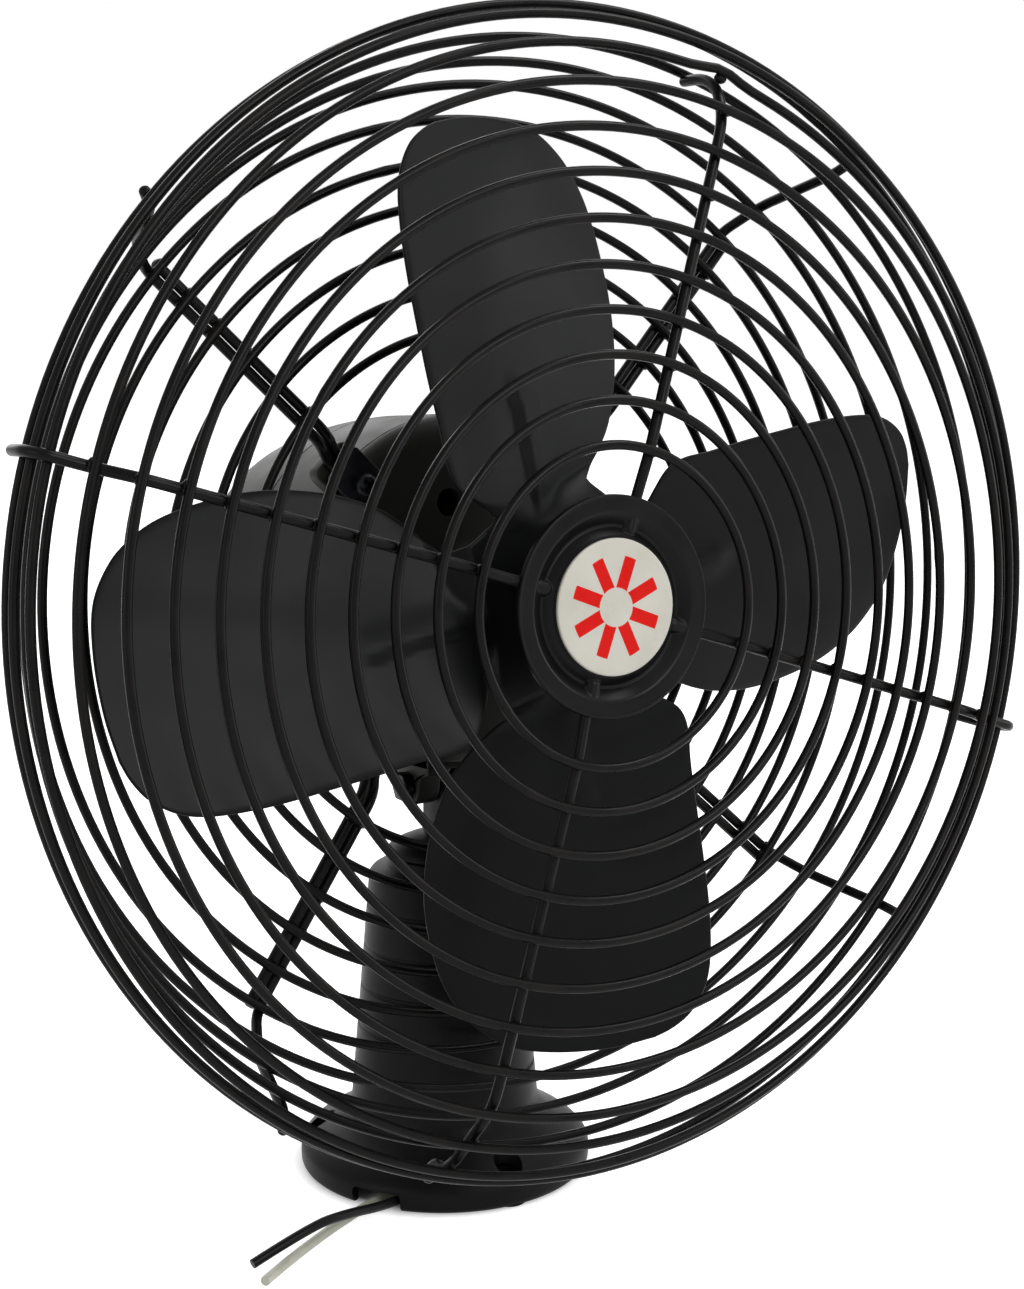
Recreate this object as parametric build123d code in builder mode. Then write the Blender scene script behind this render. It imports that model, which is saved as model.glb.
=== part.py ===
from build123d import *
from math import atan2, cos, degrees, pi, radians, sin, sqrt, tan
import os

# Screw-down vehicle fan: a tapered column on a bell-shaped foot carries a motor head
# with four pressed blades inside a welded wire guard.
# Millimetres. Origin: centre of the foot's underside. +Z up, the fan blows toward -Y.

# Foot and column
foot_radius = 34.7
foot_rim_height = 4.5
foot_wall = 2.8
foot_shoulder = (33.2, 7.4)
foot_slope_end = (25.1, 12.8)
column_foot = (22.3, 17.0)
column_top = (17.7, 71.5)
column_wall = 2.6
collar_radius = 13.4
collar_base = 74.1
collar_top = 76.6
deck_thickness = 4.0

# Foot screws
screw_circle = 30.0
screw_angle = -91.0
screw_count = 3
screw_hole_radius = 2.15
screw_recess_radius = 3.2
screw_seat_height = 5.0
screw_boss_radius = 4.2

# Lead outlet in the foot
notch_angle = -148.0
notch_width = 12.6
notch_height = 4.4

# Swivel and tilt
swivel_bolt_radius = 3.0
swivel_gap = 0.4
running_clearance = 0.05
neck_dome_top = 81.8
tongue_width = 9.0
tongue_thickness = 6.2
tilt_height = 94.0
tilt_bolt_radius = 2.0
tilt_side_gap = 0.15
fork_radius = 4.6
fork_half_width = 9.3

# Head frame
head_height = 140.25
head_tilt = 5.33
rim_ahead = 59.5

# Motor
motor_radius = 40.0
motor_wall = 2.0
can_front = 6.0
can_rear = -22.0
face_ahead = 13.0
face_radius = 31.0
rear_end = -64.0
rear_flat = 28.2
rear_shoulder = (-56.0, 34.5)
rear_waist = (-45.0, 37.6)
rear_corner = (-60.0, 31.9)
shaft_radius = 3.0
vent_circle = 20.8
vent_radius = 3.2
vent_angle = 168.0
vent_count = 6

# Wire guard
ring_wire = 2.1
rod_wire = 2.4
weld_sink = 0.1
ring_sides = 30
face_ring_first = 33.4
face_ring_pitch = 9.29
face_ring_count = 8
face_rise_outer = 10.65
face_rise_inner = 13.5
shoulder_rings = ((107.7, 10.3), (115.5, 5.2))
outer_ring = (122.5, 0.0)
front_rim_ring = (124.5, -3.0)
rear_rim = (124.5, -7.0)
side_rings = ((118.9, -12.3), (115.2, -23.0), (111.4, -32.5))
back_plane = -41.0
back_ring_outer = 104.6
back_ring_first = 58.8
back_ring_pitch = 9.25
back_ring_count = 5
spoke_angles = (19.0, 109.0, 199.0, 289.0)
rib_angles = (43.0, 133.0, 216.0, 315.0)
rib_leg_spacing = 2.6
rib_short_leg_end = 105.0

# Blade wheel
blade_count = 4
blade_angle = -17.7
blade_plane = -9.6
blade_pitch = 18.8
blade_thickness = 0.9
hub_disc_radius = 24.0
twist_end = 40.0

# Centre cap of the front guard
cap_radius = 23.4
cap_plane = 12.3
disc_radius = 14.4

# Leads
lead_diameter = 2.2


os.makedirs("parts", exist_ok=True)


# Facet counts of the round bodies, so that the whole object stays light
body_sides = 40
small_sides = 20
screw_sides = 12

# Head frame: local x is the row's X, local y is up the head, local z points forward.
tilt = radians(head_tilt)
forward = Vector(0, -cos(tilt), sin(tilt))
upward = Vector(0, sin(tilt), cos(tilt))
sideways = Vector(1, 0, 0)
head_origin = Vector(0, 0, head_height)
head_axis = Axis(head_origin, forward)
head_profile = Plane(origin=head_origin, x_dir=forward, z_dir=-sideways)


def across(ahead):
    """Plane square to the head axis, a distance ahead of the column's centre line."""
    return Plane(origin=head_origin + forward * ahead, x_dir=sideways, z_dir=forward)


def radial(angle, offset=0.0):
    """Plane through the head axis at a clock angle: local x runs forward, local y outward."""
    outward = sideways * sin(radians(angle)) + upward * cos(radians(angle))
    normal = forward.cross(outward)
    return Plane(origin=head_origin + normal * offset, x_dir=forward, z_dir=normal)


def clock_point(radius, angle):
    return (radius * sin(radians(angle)), radius * cos(radians(angle)))


def tapered_stack(plane_at, sections):
    """Many-sided turned body: straight tapers between (position, radius) sections."""
    corner = 1 / sqrt(cos(pi / body_sides))
    flat = sqrt(cos(pi / body_sides))
    with BuildPart() as body:
        for (start, first), (end, last) in zip(sections, sections[1:]):
            wide_end = plane_at(start) if first >= last else -plane_at(end)
            with BuildSketch(wide_end):
                RegularPolygon(max(first, last) * corner, body_sides)
            extrude(amount=end - start, taper=degrees(atan2(abs(first - last) * flat, end - start)))
    return body


def level(height):
    return Plane.XY.offset(height)


# Foot and column, one hollow moulding
deck_under = collar_top - deck_thickness
cavity_sections = (
    (0, foot_radius - foot_wall),
    (foot_rim_height, foot_radius - foot_wall),
    (foot_slope_end[1] - foot_wall, foot_slope_end[0] - foot_wall),
    (column_foot[1], column_foot[0] - column_wall),
    (deck_under, column_top[0] - column_wall),
)
with BuildPart() as foot_cavity:
    add(tapered_stack(level, cavity_sections).part)
    with BuildSketch(Plane.XY):
        with PolarLocations(screw_circle, screw_count, start_angle=screw_angle):
            RegularPolygon(screw_boss_radius, screw_sides)
    extrude(amount=foot_shoulder[1], mode=Mode.SUBTRACT)

column_sections = (
    (0, foot_radius),
    (foot_rim_height, foot_radius),
    (foot_shoulder[1], foot_shoulder[0]),
    (foot_slope_end[1], foot_slope_end[0]),
    (column_foot[1], column_foot[0]),
    (column_top[1], column_top[0]),
    (collar_base, collar_radius),
    (collar_top, collar_radius),
)
with BuildPart() as base_column:
    add(tapered_stack(level, column_sections).part)
    add(foot_cavity.part, mode=Mode.SUBTRACT)
    with BuildSketch(Plane.XY):
        with PolarLocations(screw_circle, screw_count, start_angle=screw_angle):
            Circle(screw_hole_radius)
    extrude(amount=screw_seat_height, mode=Mode.SUBTRACT)
    with BuildSketch(Plane.XY.offset(screw_seat_height)):
        with PolarLocations(screw_circle, screw_count, start_angle=screw_angle):
            RegularPolygon(screw_recess_radius, screw_sides)
    extrude(amount=foot_shoulder[1], mode=Mode.SUBTRACT)
    with BuildSketch(Plane.XY.offset(deck_under)):
        Circle(swivel_bolt_radius + running_clearance)
    extrude(amount=deck_thickness, mode=Mode.SUBTRACT)
    notch_out = Vector(cos(radians(notch_angle)), sin(radians(notch_angle)), 0)
    with BuildSketch(Plane(origin=notch_out * (foot_radius + 1), x_dir=(0, 0, 1), z_dir=-notch_out)):
        Rectangle(2 * notch_height, notch_width)
    extrude(amount=foot_wall + 4, mode=Mode.SUBTRACT)
base_column.part.label = "base_column"
export_step(base_column.part, "parts/base_column.step")

# Swivel neck: a domed cap that turns on the column, with a tongue for the tilt bolt
neck_base = collar_top + 0.3
dome_sections = (
    (neck_base, collar_radius),
    (neck_dome_top - 4.0, collar_radius),
    (neck_dome_top - 1.8, 11.4),
    (neck_dome_top, 6.5),
)
with BuildPart() as swivel_neck:
    add(tapered_stack(level, dome_sections).part)
    with BuildSketch(Plane.YZ):
        with Locations((0, tilt_height)):
            Circle(tongue_width / 2)
        with Locations((0, (neck_dome_top - 1 + tilt_height) / 2)):
            Rectangle(tongue_width, tilt_height - neck_dome_top + 1)
    extrude(amount=tongue_thickness / 2, both=True)
    with BuildSketch(Plane.YZ):
        with Locations((0, tilt_height)):
            Circle(tilt_bolt_radius + running_clearance)
    extrude(amount=tongue_thickness, both=True, mode=Mode.SUBTRACT)
    with BuildSketch(Plane.XY.offset(neck_base)):
        Circle(swivel_bolt_radius)
    extrude(amount=3.2, mode=Mode.SUBTRACT)
swivel_neck.part.label = "swivel_neck"
export_step(swivel_neck.part, "parts/swivel_neck.step")

# Swivel stud, washer and locking nut, hidden under the column's deck
washer_thickness = 1.0
nut_height = 5.0
nut_flats = 10.0
stud_bottom = deck_under - washer_thickness - nut_height - 2.5
with BuildPart() as swivel_stud:
    with BuildSketch(Plane.XY.offset(stud_bottom)):
        Circle(swivel_bolt_radius)
    extrude(amount=neck_base + 3.2 - stud_bottom)
swivel_stud.part.label = "swivel_stud"
export_step(swivel_stud.part, "parts/swivel_stud.step")

with BuildPart() as swivel_washer:
    with BuildSketch(Plane.XY.offset(deck_under - 0.05 - washer_thickness)):
        RegularPolygon(8.0, small_sides)
        Circle(swivel_bolt_radius + 0.1, mode=Mode.SUBTRACT)
    extrude(amount=washer_thickness)
swivel_washer.part.label = "swivel_washer"
export_step(swivel_washer.part, "parts/swivel_washer.step")

with BuildPart() as swivel_nut:
    with BuildSketch(Plane.XY.offset(deck_under - 0.05 - washer_thickness - nut_height)):
        RegularPolygon(nut_flats / 2, 6, major_radius=False)
        Circle(swivel_bolt_radius, mode=Mode.SUBTRACT)
    extrude(amount=nut_height)
swivel_nut.part.label = "swivel_nut"
export_step(swivel_nut.part, "parts/swivel_nut.step")

# Motor foot: a fork that hangs under the motor can and takes the tongue
pin_ahead = (tilt_height - head_height) * sin(tilt)
pin_up = (tilt_height - head_height) * cos(tilt)
foot_pad_reach = 10.0
foot_pad_under = -42.5
foot_screws_at = ((pin_ahead - 7.4, -4.6), (pin_ahead - 7.4, 4.6))
slot_half = tongue_thickness / 2 + tilt_side_gap
with BuildPart() as motor_foot:
    with BuildSketch(head_profile):
        with Locations((pin_ahead, pin_up)):
            Circle(fork_radius)
        with BuildLine():
            Polyline(
                (pin_ahead - fork_radius, pin_up),
                (pin_ahead - foot_pad_reach, foot_pad_under),
                (pin_ahead - foot_pad_reach, -38.0),
                (pin_ahead + foot_pad_reach, -38.0),
                (pin_ahead + foot_pad_reach, foot_pad_under),
                (pin_ahead + fork_radius, pin_up),
                close=True,
            )
        make_face()
    extrude(amount=fork_half_width, both=True)
    with BuildSketch(head_profile):
        with Locations((pin_ahead, pin_up)):
            Circle(tongue_width / 2 + 0.5)
        with Locations((pin_ahead, pin_up - fork_radius)):
            Rectangle(3 * foot_pad_reach, 2 * fork_radius)
    extrude(amount=slot_half, both=True, mode=Mode.SUBTRACT)
    with BuildSketch(head_profile):
        with Locations((pin_ahead, pin_up)):
            Circle(tilt_bolt_radius + running_clearance)
    extrude(amount=2 * fork_half_width, both=True, mode=Mode.SUBTRACT)
    saddle = motor_radius + running_clearance
    saddle_ends = (pin_ahead - 2 * foot_pad_reach, pin_ahead + 2 * foot_pad_reach)
    add(tapered_stack(across, [(end, saddle) for end in saddle_ends]).part, mode=Mode.SUBTRACT)
    foot_screw_radius = 1.5
    foot_screw_depth = 3.0
    with BuildSketch(Plane(origin=head_origin - upward * motor_radius, x_dir=forward, z_dir=-upward)):
        with Locations(*foot_screws_at):
            RegularPolygon(foot_screw_radius, screw_sides)
    extrude(amount=foot_screw_depth, both=True, mode=Mode.SUBTRACT)
motor_foot.part.label = "motor_foot"
export_step(motor_foot.part, "parts/motor_foot.step")

foot_screw_head = 2.8
foot_screw_head_height = 1.8
foot_screw_rise = 0.9
with BuildPart() as foot_screws:
    can_inside = Plane(origin=head_origin - upward * (motor_radius - motor_wall), x_dir=forward, z_dir=-upward)
    with BuildSketch(can_inside.offset(-foot_screw_rise)):
        with Locations(*foot_screws_at):
            RegularPolygon(foot_screw_radius - 0.02, screw_sides)
    extrude(amount=foot_screw_rise + motor_wall + foot_screw_depth - 0.1)
    with BuildSketch(can_inside.offset(-foot_screw_rise)):
        with Locations(*foot_screws_at):
            RegularPolygon(foot_screw_head, screw_sides)
    extrude(amount=-foot_screw_head_height)
foot_screws.part.label = "foot_screws"
export_step(foot_screws.part, "parts/foot_screws.step")

# Tilt bolt with its nut
tilt_head_radius = 3.6
tilt_head_height = 2.6
tilt_nut_height = 3.2
fork_face = fork_half_width + 0.05
with BuildPart() as tilt_bolt:
    with BuildSketch(Plane.YZ.offset(-fork_face)):
        with Locations((0, tilt_height)):
            Circle(tilt_bolt_radius)
    extrude(amount=2 * fork_face + tilt_nut_height + 1)
    with BuildSketch(Plane.YZ.offset(-fork_face - tilt_head_height)):
        with Locations((0, tilt_height)):
            RegularPolygon(tilt_head_radius, 6)
    extrude(amount=tilt_head_height)
tilt_bolt.part.label = "tilt_bolt"
export_step(tilt_bolt.part, "parts/tilt_bolt.step")

with BuildPart() as tilt_nut:
    with BuildSketch(Plane.YZ.offset(fork_face)):
        with Locations((0, tilt_height)):
            RegularPolygon(tilt_head_radius, 6)
            Circle(tilt_bolt_radius, mode=Mode.SUBTRACT)
    extrude(amount=tilt_nut_height)
tilt_nut.part.label = "tilt_nut"
export_step(tilt_nut.part, "parts/tilt_nut.step")

# Motor can with the two foot screw holes
can_bore = motor_radius - motor_wall
with BuildPart() as motor_can:
    add(tapered_stack(across, ((can_rear, motor_radius), (can_front, motor_radius))).part)
    add(tapered_stack(across, ((can_rear, can_bore), (can_front, can_bore))).part, mode=Mode.SUBTRACT)
    with BuildSketch(Plane(origin=head_origin - upward * can_bore, x_dir=forward, z_dir=-upward)):
        with Locations(*foot_screws_at):
            RegularPolygon(foot_screw_radius, screw_sides)
    extrude(amount=motor_wall + 1, both=True, mode=Mode.SUBTRACT)
motor_can.part.label = "motor_can"
export_step(motor_can.part, "parts/motor_can.step")

# Front cover: rounded shoulder, flat vented face, bearing nose and four guard lugs
spigot = can_bore - running_clearance
cover_wall = 2.5
bush_radius = 5.0
nose_radius = 7.5
nose_end = face_ahead + 4.0
lug_width = 11.0
lug_seat = 10.0
lug_reach = 46.0
lug_inner = 31.0
clamp_boss_at = 36.3
clamp_screw_radius = 1.5
front_sections = (
    (can_front, motor_radius),
    (can_front + 2, motor_radius),
    (11.6, 37.2),
    (face_ahead, face_radius),
)
with BuildPart() as front_cover:
    add(tapered_stack(across, front_sections).part)
    add(tapered_stack(across, ((can_front - 3, spigot), (can_front, spigot))).part)
    inside_end = face_ahead - cover_wall
    hollow = ((can_front - 3, spigot - cover_wall), (inside_end, face_radius))
    add(tapered_stack(across, hollow).part, mode=Mode.SUBTRACT)
    with BuildSketch(across(inside_end)):
        RegularPolygon(nose_radius, small_sides)
    extrude(amount=nose_end - inside_end)
    with BuildSketch(across(inside_end)):
        RegularPolygon(bush_radius, small_sides)
    extrude(amount=nose_end - inside_end, mode=Mode.SUBTRACT)
    for angle in rib_angles:
        with BuildSketch(radial(angle)):
            with BuildLine():
                Polyline(
                    (can_front, lug_inner),
                    (can_front, lug_reach),
                    (lug_seat, lug_reach),
                    (lug_seat, lug_inner),
                    close=True,
                )
            make_face()
        extrude(amount=lug_width / 2, both=True)
        with BuildSketch(radial(angle)):
            with Locations((lug_seat + 4, lug_inner + 10)):
                Rectangle(8, 20)
        extrude(amount=lug_width / 2, both=True, mode=Mode.SUBTRACT)
        with BuildSketch(across(lug_seat)):
            with Locations(clock_point(clamp_boss_at, angle)):
                RegularPolygon(3.0, screw_sides)
        extrude(amount=rod_wire)
        with BuildSketch(across(lug_seat + rod_wire)):
            with Locations(clock_point(clamp_boss_at, angle)):
                RegularPolygon(clamp_screw_radius, screw_sides)
        extrude(amount=-rod_wire - 3.0, mode=Mode.SUBTRACT)
    for k in range(vent_count):
        with BuildSketch(across(face_ahead)):
            with Locations(clock_point(vent_circle, vent_angle + k * 360 / vent_count)):
                RegularPolygon(vent_radius, small_sides)
        extrude(amount=-cover_wall, mode=Mode.SUBTRACT)
front_cover.part.label = "front_cover"
export_step(front_cover.part, "parts/front_cover.step")

# Rear cover: a deep rounded bell with its own bush seat
rear_wall = 2.2
rear_inside = rear_end + rear_wall
rear_sections = (
    (rear_end, rear_flat),
    (rear_corner[0], rear_corner[1]),
    (rear_shoulder[0], rear_shoulder[1]),
    (rear_waist[0], rear_waist[1]),
    (can_rear, motor_radius),
)
rear_hollow = (
    (rear_inside, rear_flat - 1),
    (rear_shoulder[0] + 1, rear_shoulder[1] - rear_wall),
    (can_rear + 3, spigot - rear_wall),
)
with BuildPart() as rear_cover:
    add(tapered_stack(across, rear_sections).part)
    add(tapered_stack(across, ((can_rear, spigot), (can_rear + 3, spigot))).part)
    add(tapered_stack(across, rear_hollow).part, mode=Mode.SUBTRACT)
    with BuildSketch(across(rear_inside)):
        RegularPolygon(nose_radius, small_sides)
        RegularPolygon(bush_radius, small_sides, mode=Mode.SUBTRACT)
    extrude(amount=6.8)
rear_cover.part.label = "rear_cover"
export_step(rear_cover.part, "parts/rear_cover.step")

# Field magnets: two arcs bonded into the can
magnet_thickness = 5.0
magnet_length = 20.0
magnet_gap_half = 24.0
magnet_front = can_front - 3.5
with BuildPart() as magnets:
    with BuildSketch(across(magnet_front - magnet_length)):
        RegularPolygon(can_bore - running_clearance, body_sides)
        RegularPolygon(can_bore - magnet_thickness, body_sides, mode=Mode.SUBTRACT)
        with BuildLine(mode=Mode.PRIVATE) as gap_line:
            reach = 2 * motor_radius
            Polyline(
                (0, 0),
                clock_point(reach, -magnet_gap_half),
                clock_point(reach, 0),
                clock_point(reach, magnet_gap_half),
                close=True,
            )
        gap_face = make_face(gap_line.line, mode=Mode.PRIVATE)
        add(gap_face, mode=Mode.SUBTRACT)
        add(gap_face, rotation=180, mode=Mode.SUBTRACT)
    extrude(amount=magnet_length)
magnets.part.label = "magnets"
export_step(magnets.part, "parts/magnets.step")

# Armature: laminated core, end windings, commutator and shaft
core_radius = 24.0
core_length = 20.0
core_front = magnet_front - 1.0
pole_count = 3
pole_neck = 9.0
with BuildPart() as armature_core:
    with BuildSketch(across(core_front - core_length)):
        RegularPolygon(core_radius, body_sides)
        RegularPolygon(core_radius - 5, body_sides, mode=Mode.SUBTRACT)
        with PolarLocations(core_radius, pole_count, start_angle=90):
            Rectangle(11, 5.0, mode=Mode.SUBTRACT)
        with PolarLocations(core_radius / 2, pole_count, start_angle=90 + 180 / pole_count):
            Rectangle(core_radius - 4, pole_neck)
        RegularPolygon(8.5, 6)
        Circle(shaft_radius, mode=Mode.SUBTRACT)
    extrude(amount=core_length)
armature_core.part.label = "armature_core"
export_step(armature_core.part, "parts/armature_core.step")

winding_reach = 5.0
winding_half = 6.5
with BuildPart() as armature_windings:
    for k in range(pole_count):
        angle = 180 / pole_count + k * 360 / pole_count
        with BuildSketch(radial(angle)):
            with Locations((core_front - core_length / 2, 13.2)):
                Rectangle(core_length + 2 * winding_reach, 8.6)
                Rectangle(core_length, 12, mode=Mode.SUBTRACT)
        extrude(amount=winding_half, both=True)
armature_windings.part.label = "armature_windings"
export_step(armature_windings.part, "parts/armature_windings.step")

commutator_radius = 9.0
commutator_length = 12.0
commutator_front = core_front - core_length - winding_reach - 2.0
with BuildPart() as commutator:
    with BuildSketch(across(commutator_front - commutator_length)):
        RegularPolygon(commutator_radius, small_sides)
        with PolarLocations(commutator_radius, pole_count, start_angle=90):
            Rectangle(2.0, 0.8, mode=Mode.SUBTRACT)
        Circle(shaft_radius, mode=Mode.SUBTRACT)
    extrude(amount=commutator_length)
commutator.part.label = "commutator"
export_step(commutator.part, "parts/commutator.step")

# Bushes, shaft and thrust washers
bush_length = 8.0
shaft_rear = rear_end + rear_wall + 0.5
wheel_plane = rim_ahead + blade_plane
wheel_face = wheel_plane + blade_thickness / 2
with BuildPart() as front_bush:
    with BuildSketch(across(nose_end - bush_length)):
        RegularPolygon(bush_radius - 0.01, small_sides)
        Circle(shaft_radius + running_clearance, mode=Mode.SUBTRACT)
    extrude(amount=bush_length)
front_bush.part.label = "front_bush"
export_step(front_bush.part, "parts/front_bush.step")

with BuildPart() as rear_bush:
    with BuildSketch(across(rear_end + rear_wall)):
        RegularPolygon(bush_radius - 0.01, small_sides)
        Circle(shaft_radius + running_clearance, mode=Mode.SUBTRACT)
    extrude(amount=6.8)
rear_bush.part.label = "rear_bush"
export_step(rear_bush.part, "parts/rear_bush.step")

with BuildPart() as shaft:
    with BuildSketch(across(shaft_rear)):
        Circle(shaft_radius)
    extrude(amount=wheel_face + 1.0 - shaft_rear)
shaft.part.label = "shaft"
export_step(shaft.part, "parts/shaft.step")

with BuildPart() as thrust_washer:
    with BuildSketch(across(nose_end + 0.3)):
        RegularPolygon(5.5, small_sides)
        RegularPolygon(shaft_radius + 0.1, screw_sides, major_radius=False, mode=Mode.SUBTRACT)
    extrude(amount=0.8)
thrust_washer.part.label = "thrust_washer"
export_step(thrust_washer.part, "parts/thrust_washer.step")

# Brush plate across the rear of the can, with two brushes and their springs
plate_at = commutator_front - commutator_length / 2 - 5.0
plate_radius = 33.5
plate_bore = 11.0
brush_size = (5.0, 6.0)
brush_length = 11.0
with BuildPart() as brush_plate:
    with BuildSketch(across(plate_at - 2.0)):
        RegularPolygon(plate_radius, body_sides)
        RegularPolygon(plate_bore, small_sides, mode=Mode.SUBTRACT)
    extrude(amount=2.0)
    for side in (-1, 1):
        with BuildSketch(across(plate_at)):
            with Locations((side * (commutator_radius + 3 + brush_length / 2), 4.3)):
                Rectangle(brush_length, 1.4)
            with Locations((side * (commutator_radius + 3 + brush_length / 2), -4.3)):
                Rectangle(brush_length, 1.4)
        extrude(amount=6.0)
brush_plate.part.label = "brush_plate"
export_step(brush_plate.part, "parts/brush_plate.step")

with BuildPart() as brushes:
    for side in (-1, 1):
        with BuildSketch(across(plate_at + 0.3)):
            with Locations((side * (commutator_radius + 0.1 + brush_length / 2), 0)):
                Rectangle(brush_length, brush_size[1])
        extrude(amount=brush_size[0])
brushes.part.label = "brushes"
export_step(brushes.part, "parts/brushes.step")

with BuildPart() as brush_springs:
    for side in (-1, 1):
        with BuildSketch(across(plate_at + 0.3)):
            with Locations((side * (commutator_radius + brush_length + 0.7), 0)):
                Rectangle(1.0, 5.0)
            with Locations((side * (commutator_radius + brush_length + 3.6), 2.2)):
                Rectangle(5.8, 0.6)
            with Locations((side * (commutator_radius + brush_length + 6.1), 0)):
                Rectangle(0.8, 5.0)
        extrude(amount=4.0)
brush_springs.part.label = "brush_springs"
export_step(brush_springs.part, "parts/brush_springs.step")


# Blade wheel: one pressing, a flat centre plate that twists into four pitched blades
pitch = radians(blade_pitch)
root_plane_at = 40.0
root_span = (-18.2, 38.0)
plate_half = hub_disc_radius
blade_outline = (
    (root_plane_at, root_span[0]),
    (46, -17),
    (62, -15),
    (78, -11.5),
    (91, -8),
    (97, -5),
    (101, 0),
    (102.5, 5),
    (103, 10),
    (101.5, 19),
    (98, 30),
    (93, 40),
    (85, 47),
    (78, 49.5),
    (72, 50.5),
    (61, 49.5),
    (49, 44.5),
    (root_plane_at, root_span[1]),
)


def blade_frame(angle, chord_pitch, reach):
    """Plane square to a blade's axis at a reach from the hub: local x runs along the chord."""
    outward = sideways * sin(radians(angle)) + upward * cos(radians(angle))
    clockwise = sideways * cos(radians(angle)) - upward * sin(radians(angle))
    chord = clockwise * cos(chord_pitch) - forward * sin(chord_pitch)
    centre = head_origin + forward * wheel_plane + outward * reach
    return Plane(origin=centre, x_dir=chord, z_dir=outward)


def blade_face(angle):
    """Plane of a pitched blade: local x runs outward, local y along the chord."""
    outward = sideways * sin(radians(angle)) + upward * cos(radians(angle))
    clockwise = sideways * cos(radians(angle)) - upward * sin(radians(angle))
    chord = clockwise * cos(pitch) - forward * sin(pitch)
    return Plane(origin=head_origin + forward * wheel_plane, x_dir=outward, z_dir=outward.cross(chord))


with BuildPart() as blade_wheel:
    with BuildSketch(across(wheel_plane)):
        Rectangle(2 * plate_half, 2 * plate_half, rotation=-blade_angle)
    extrude(amount=blade_thickness / 2, both=True)
    for k in range(blade_count):
        angle = blade_angle + k * 360 / blade_count
        with BuildSketch(blade_face(angle)):
            with BuildLine():
                Polyline(*blade_outline, close=True)
            make_face()
        extrude(amount=blade_thickness / 2, both=True)
        with BuildSketch(blade_frame(angle, 0, plate_half)):
            with Locations(((plate_half - 19.7) / 2, 0)):
                Rectangle(plate_half + 19.7, blade_thickness)
        with BuildSketch(blade_frame(angle, pitch, root_plane_at)):
            with Locations(((root_span[0] + root_span[1]) / 2, 0)):
                Rectangle(root_span[1] - root_span[0], blade_thickness)
        loft(ruled=True)
    with BuildSketch(across(wheel_plane - 1)):
        Circle(shaft_radius + 0.5)
    extrude(amount=2, mode=Mode.SUBTRACT)
blade_wheel.part.label = "blade_wheel"
export_step(blade_wheel.part, "parts/blade_wheel.step")

# Hub: a flanged bushing riveted behind the wheel and clamped on the shaft by a set screw
hub_back = wheel_plane - blade_thickness / 2
hub_rear = face_ahead + 7.0
hub_barrel_radius = 7.0
hub_flange_radius = 14.0
hub_flange_thickness = 2.0
rivet_circle = 10.5
set_screw_at = 27.0
set_screw_angle = -60.0
set_screw_radius = 2.0
with BuildPart() as hub_bushing:
    with BuildSketch(across(hub_rear)):
        RegularPolygon(hub_barrel_radius, small_sides)
    extrude(amount=hub_back - hub_rear)
    with BuildSketch(across(hub_back)):
        RegularPolygon(hub_flange_radius, small_sides)
    extrude(amount=-hub_flange_thickness)
    with BuildSketch(across(hub_rear)):
        Circle(shaft_radius + 0.02)
    extrude(amount=hub_back - hub_rear, mode=Mode.SUBTRACT)
    set_screw_line = sideways * sin(radians(set_screw_angle)) + upward * cos(radians(set_screw_angle))
    set_screw_plane = Plane(origin=head_origin + forward * set_screw_at, z_dir=set_screw_line)
    with BuildSketch(set_screw_plane.offset(shaft_radius - 0.5)):
        Circle(set_screw_radius)
    extrude(amount=hub_barrel_radius, mode=Mode.SUBTRACT)
hub_bushing.part.label = "hub_bushing"
export_step(hub_bushing.part, "parts/hub_bushing.step")

with BuildPart() as hub_set_screw:
    with BuildSketch(set_screw_plane.offset(shaft_radius + 0.02)):
        Circle(set_screw_radius - 0.01)
    extrude(amount=hub_barrel_radius - shaft_radius + 0.8)
hub_set_screw.part.label = "hub_set_screw"
export_step(hub_set_screw.part, "parts/hub_set_screw.step")

with BuildPart() as hub_rivets:
    for k in range(blade_count):
        with BuildSketch(across(wheel_face)):
            with Locations(clock_point(rivet_circle, blade_angle + 45 + k * 360 / blade_count)):
                RegularPolygon(1.9, screw_sides)
        extrude(amount=1.1)
hub_rivets.part.label = "hub_rivets"
export_step(hub_rivets.part, "parts/hub_rivets.step")


# Wire guard. Rings are polygons with a square section, rods are strips of the same wire.
def guard_rings(rings):
    """Separate rings of square wire from (radius, ahead of the front rim) pairs."""
    with BuildPart() as body:
        for radius, ahead in rings:
            stretch = 1 / sqrt(cos(pi / ring_sides))
            with BuildSketch(across(rim_ahead + ahead - ring_wire / 2)):
                RegularPolygon((radius + ring_wire / 2) * stretch, ring_sides)
                RegularPolygon((radius - ring_wire / 2) * stretch, ring_sides, mode=Mode.SUBTRACT)
            extrude(amount=ring_wire)
    return body


def guard_rod(path, angle, offset=0.0, width=rod_wire):
    """One bent rod in a radial plane from (ahead of the front rim, radius) points."""
    half = rod_wire / 2 - weld_sink
    with BuildPart() as body:
        with BuildSketch(radial(angle, offset)):
            with BuildLine():
                Polyline(*[(rim_ahead + ahead, radius) for ahead, radius in path])
            trace(line_width=2 * half)
        extrude(amount=width / 2, both=True)
    return body


face_rings = [
    (
        face_ring_first + k * face_ring_pitch,
        face_rise_inner - k * (face_rise_inner - face_rise_outer) / face_ring_count,
    )
    for k in range(face_ring_count)
]
front_face_rings = guard_rings([*face_rings, shoulder_rings[0]])
front_face_rings.part.label = "front_face_rings"
export_step(front_face_rings.part, "parts/front_face_rings.step")

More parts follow.
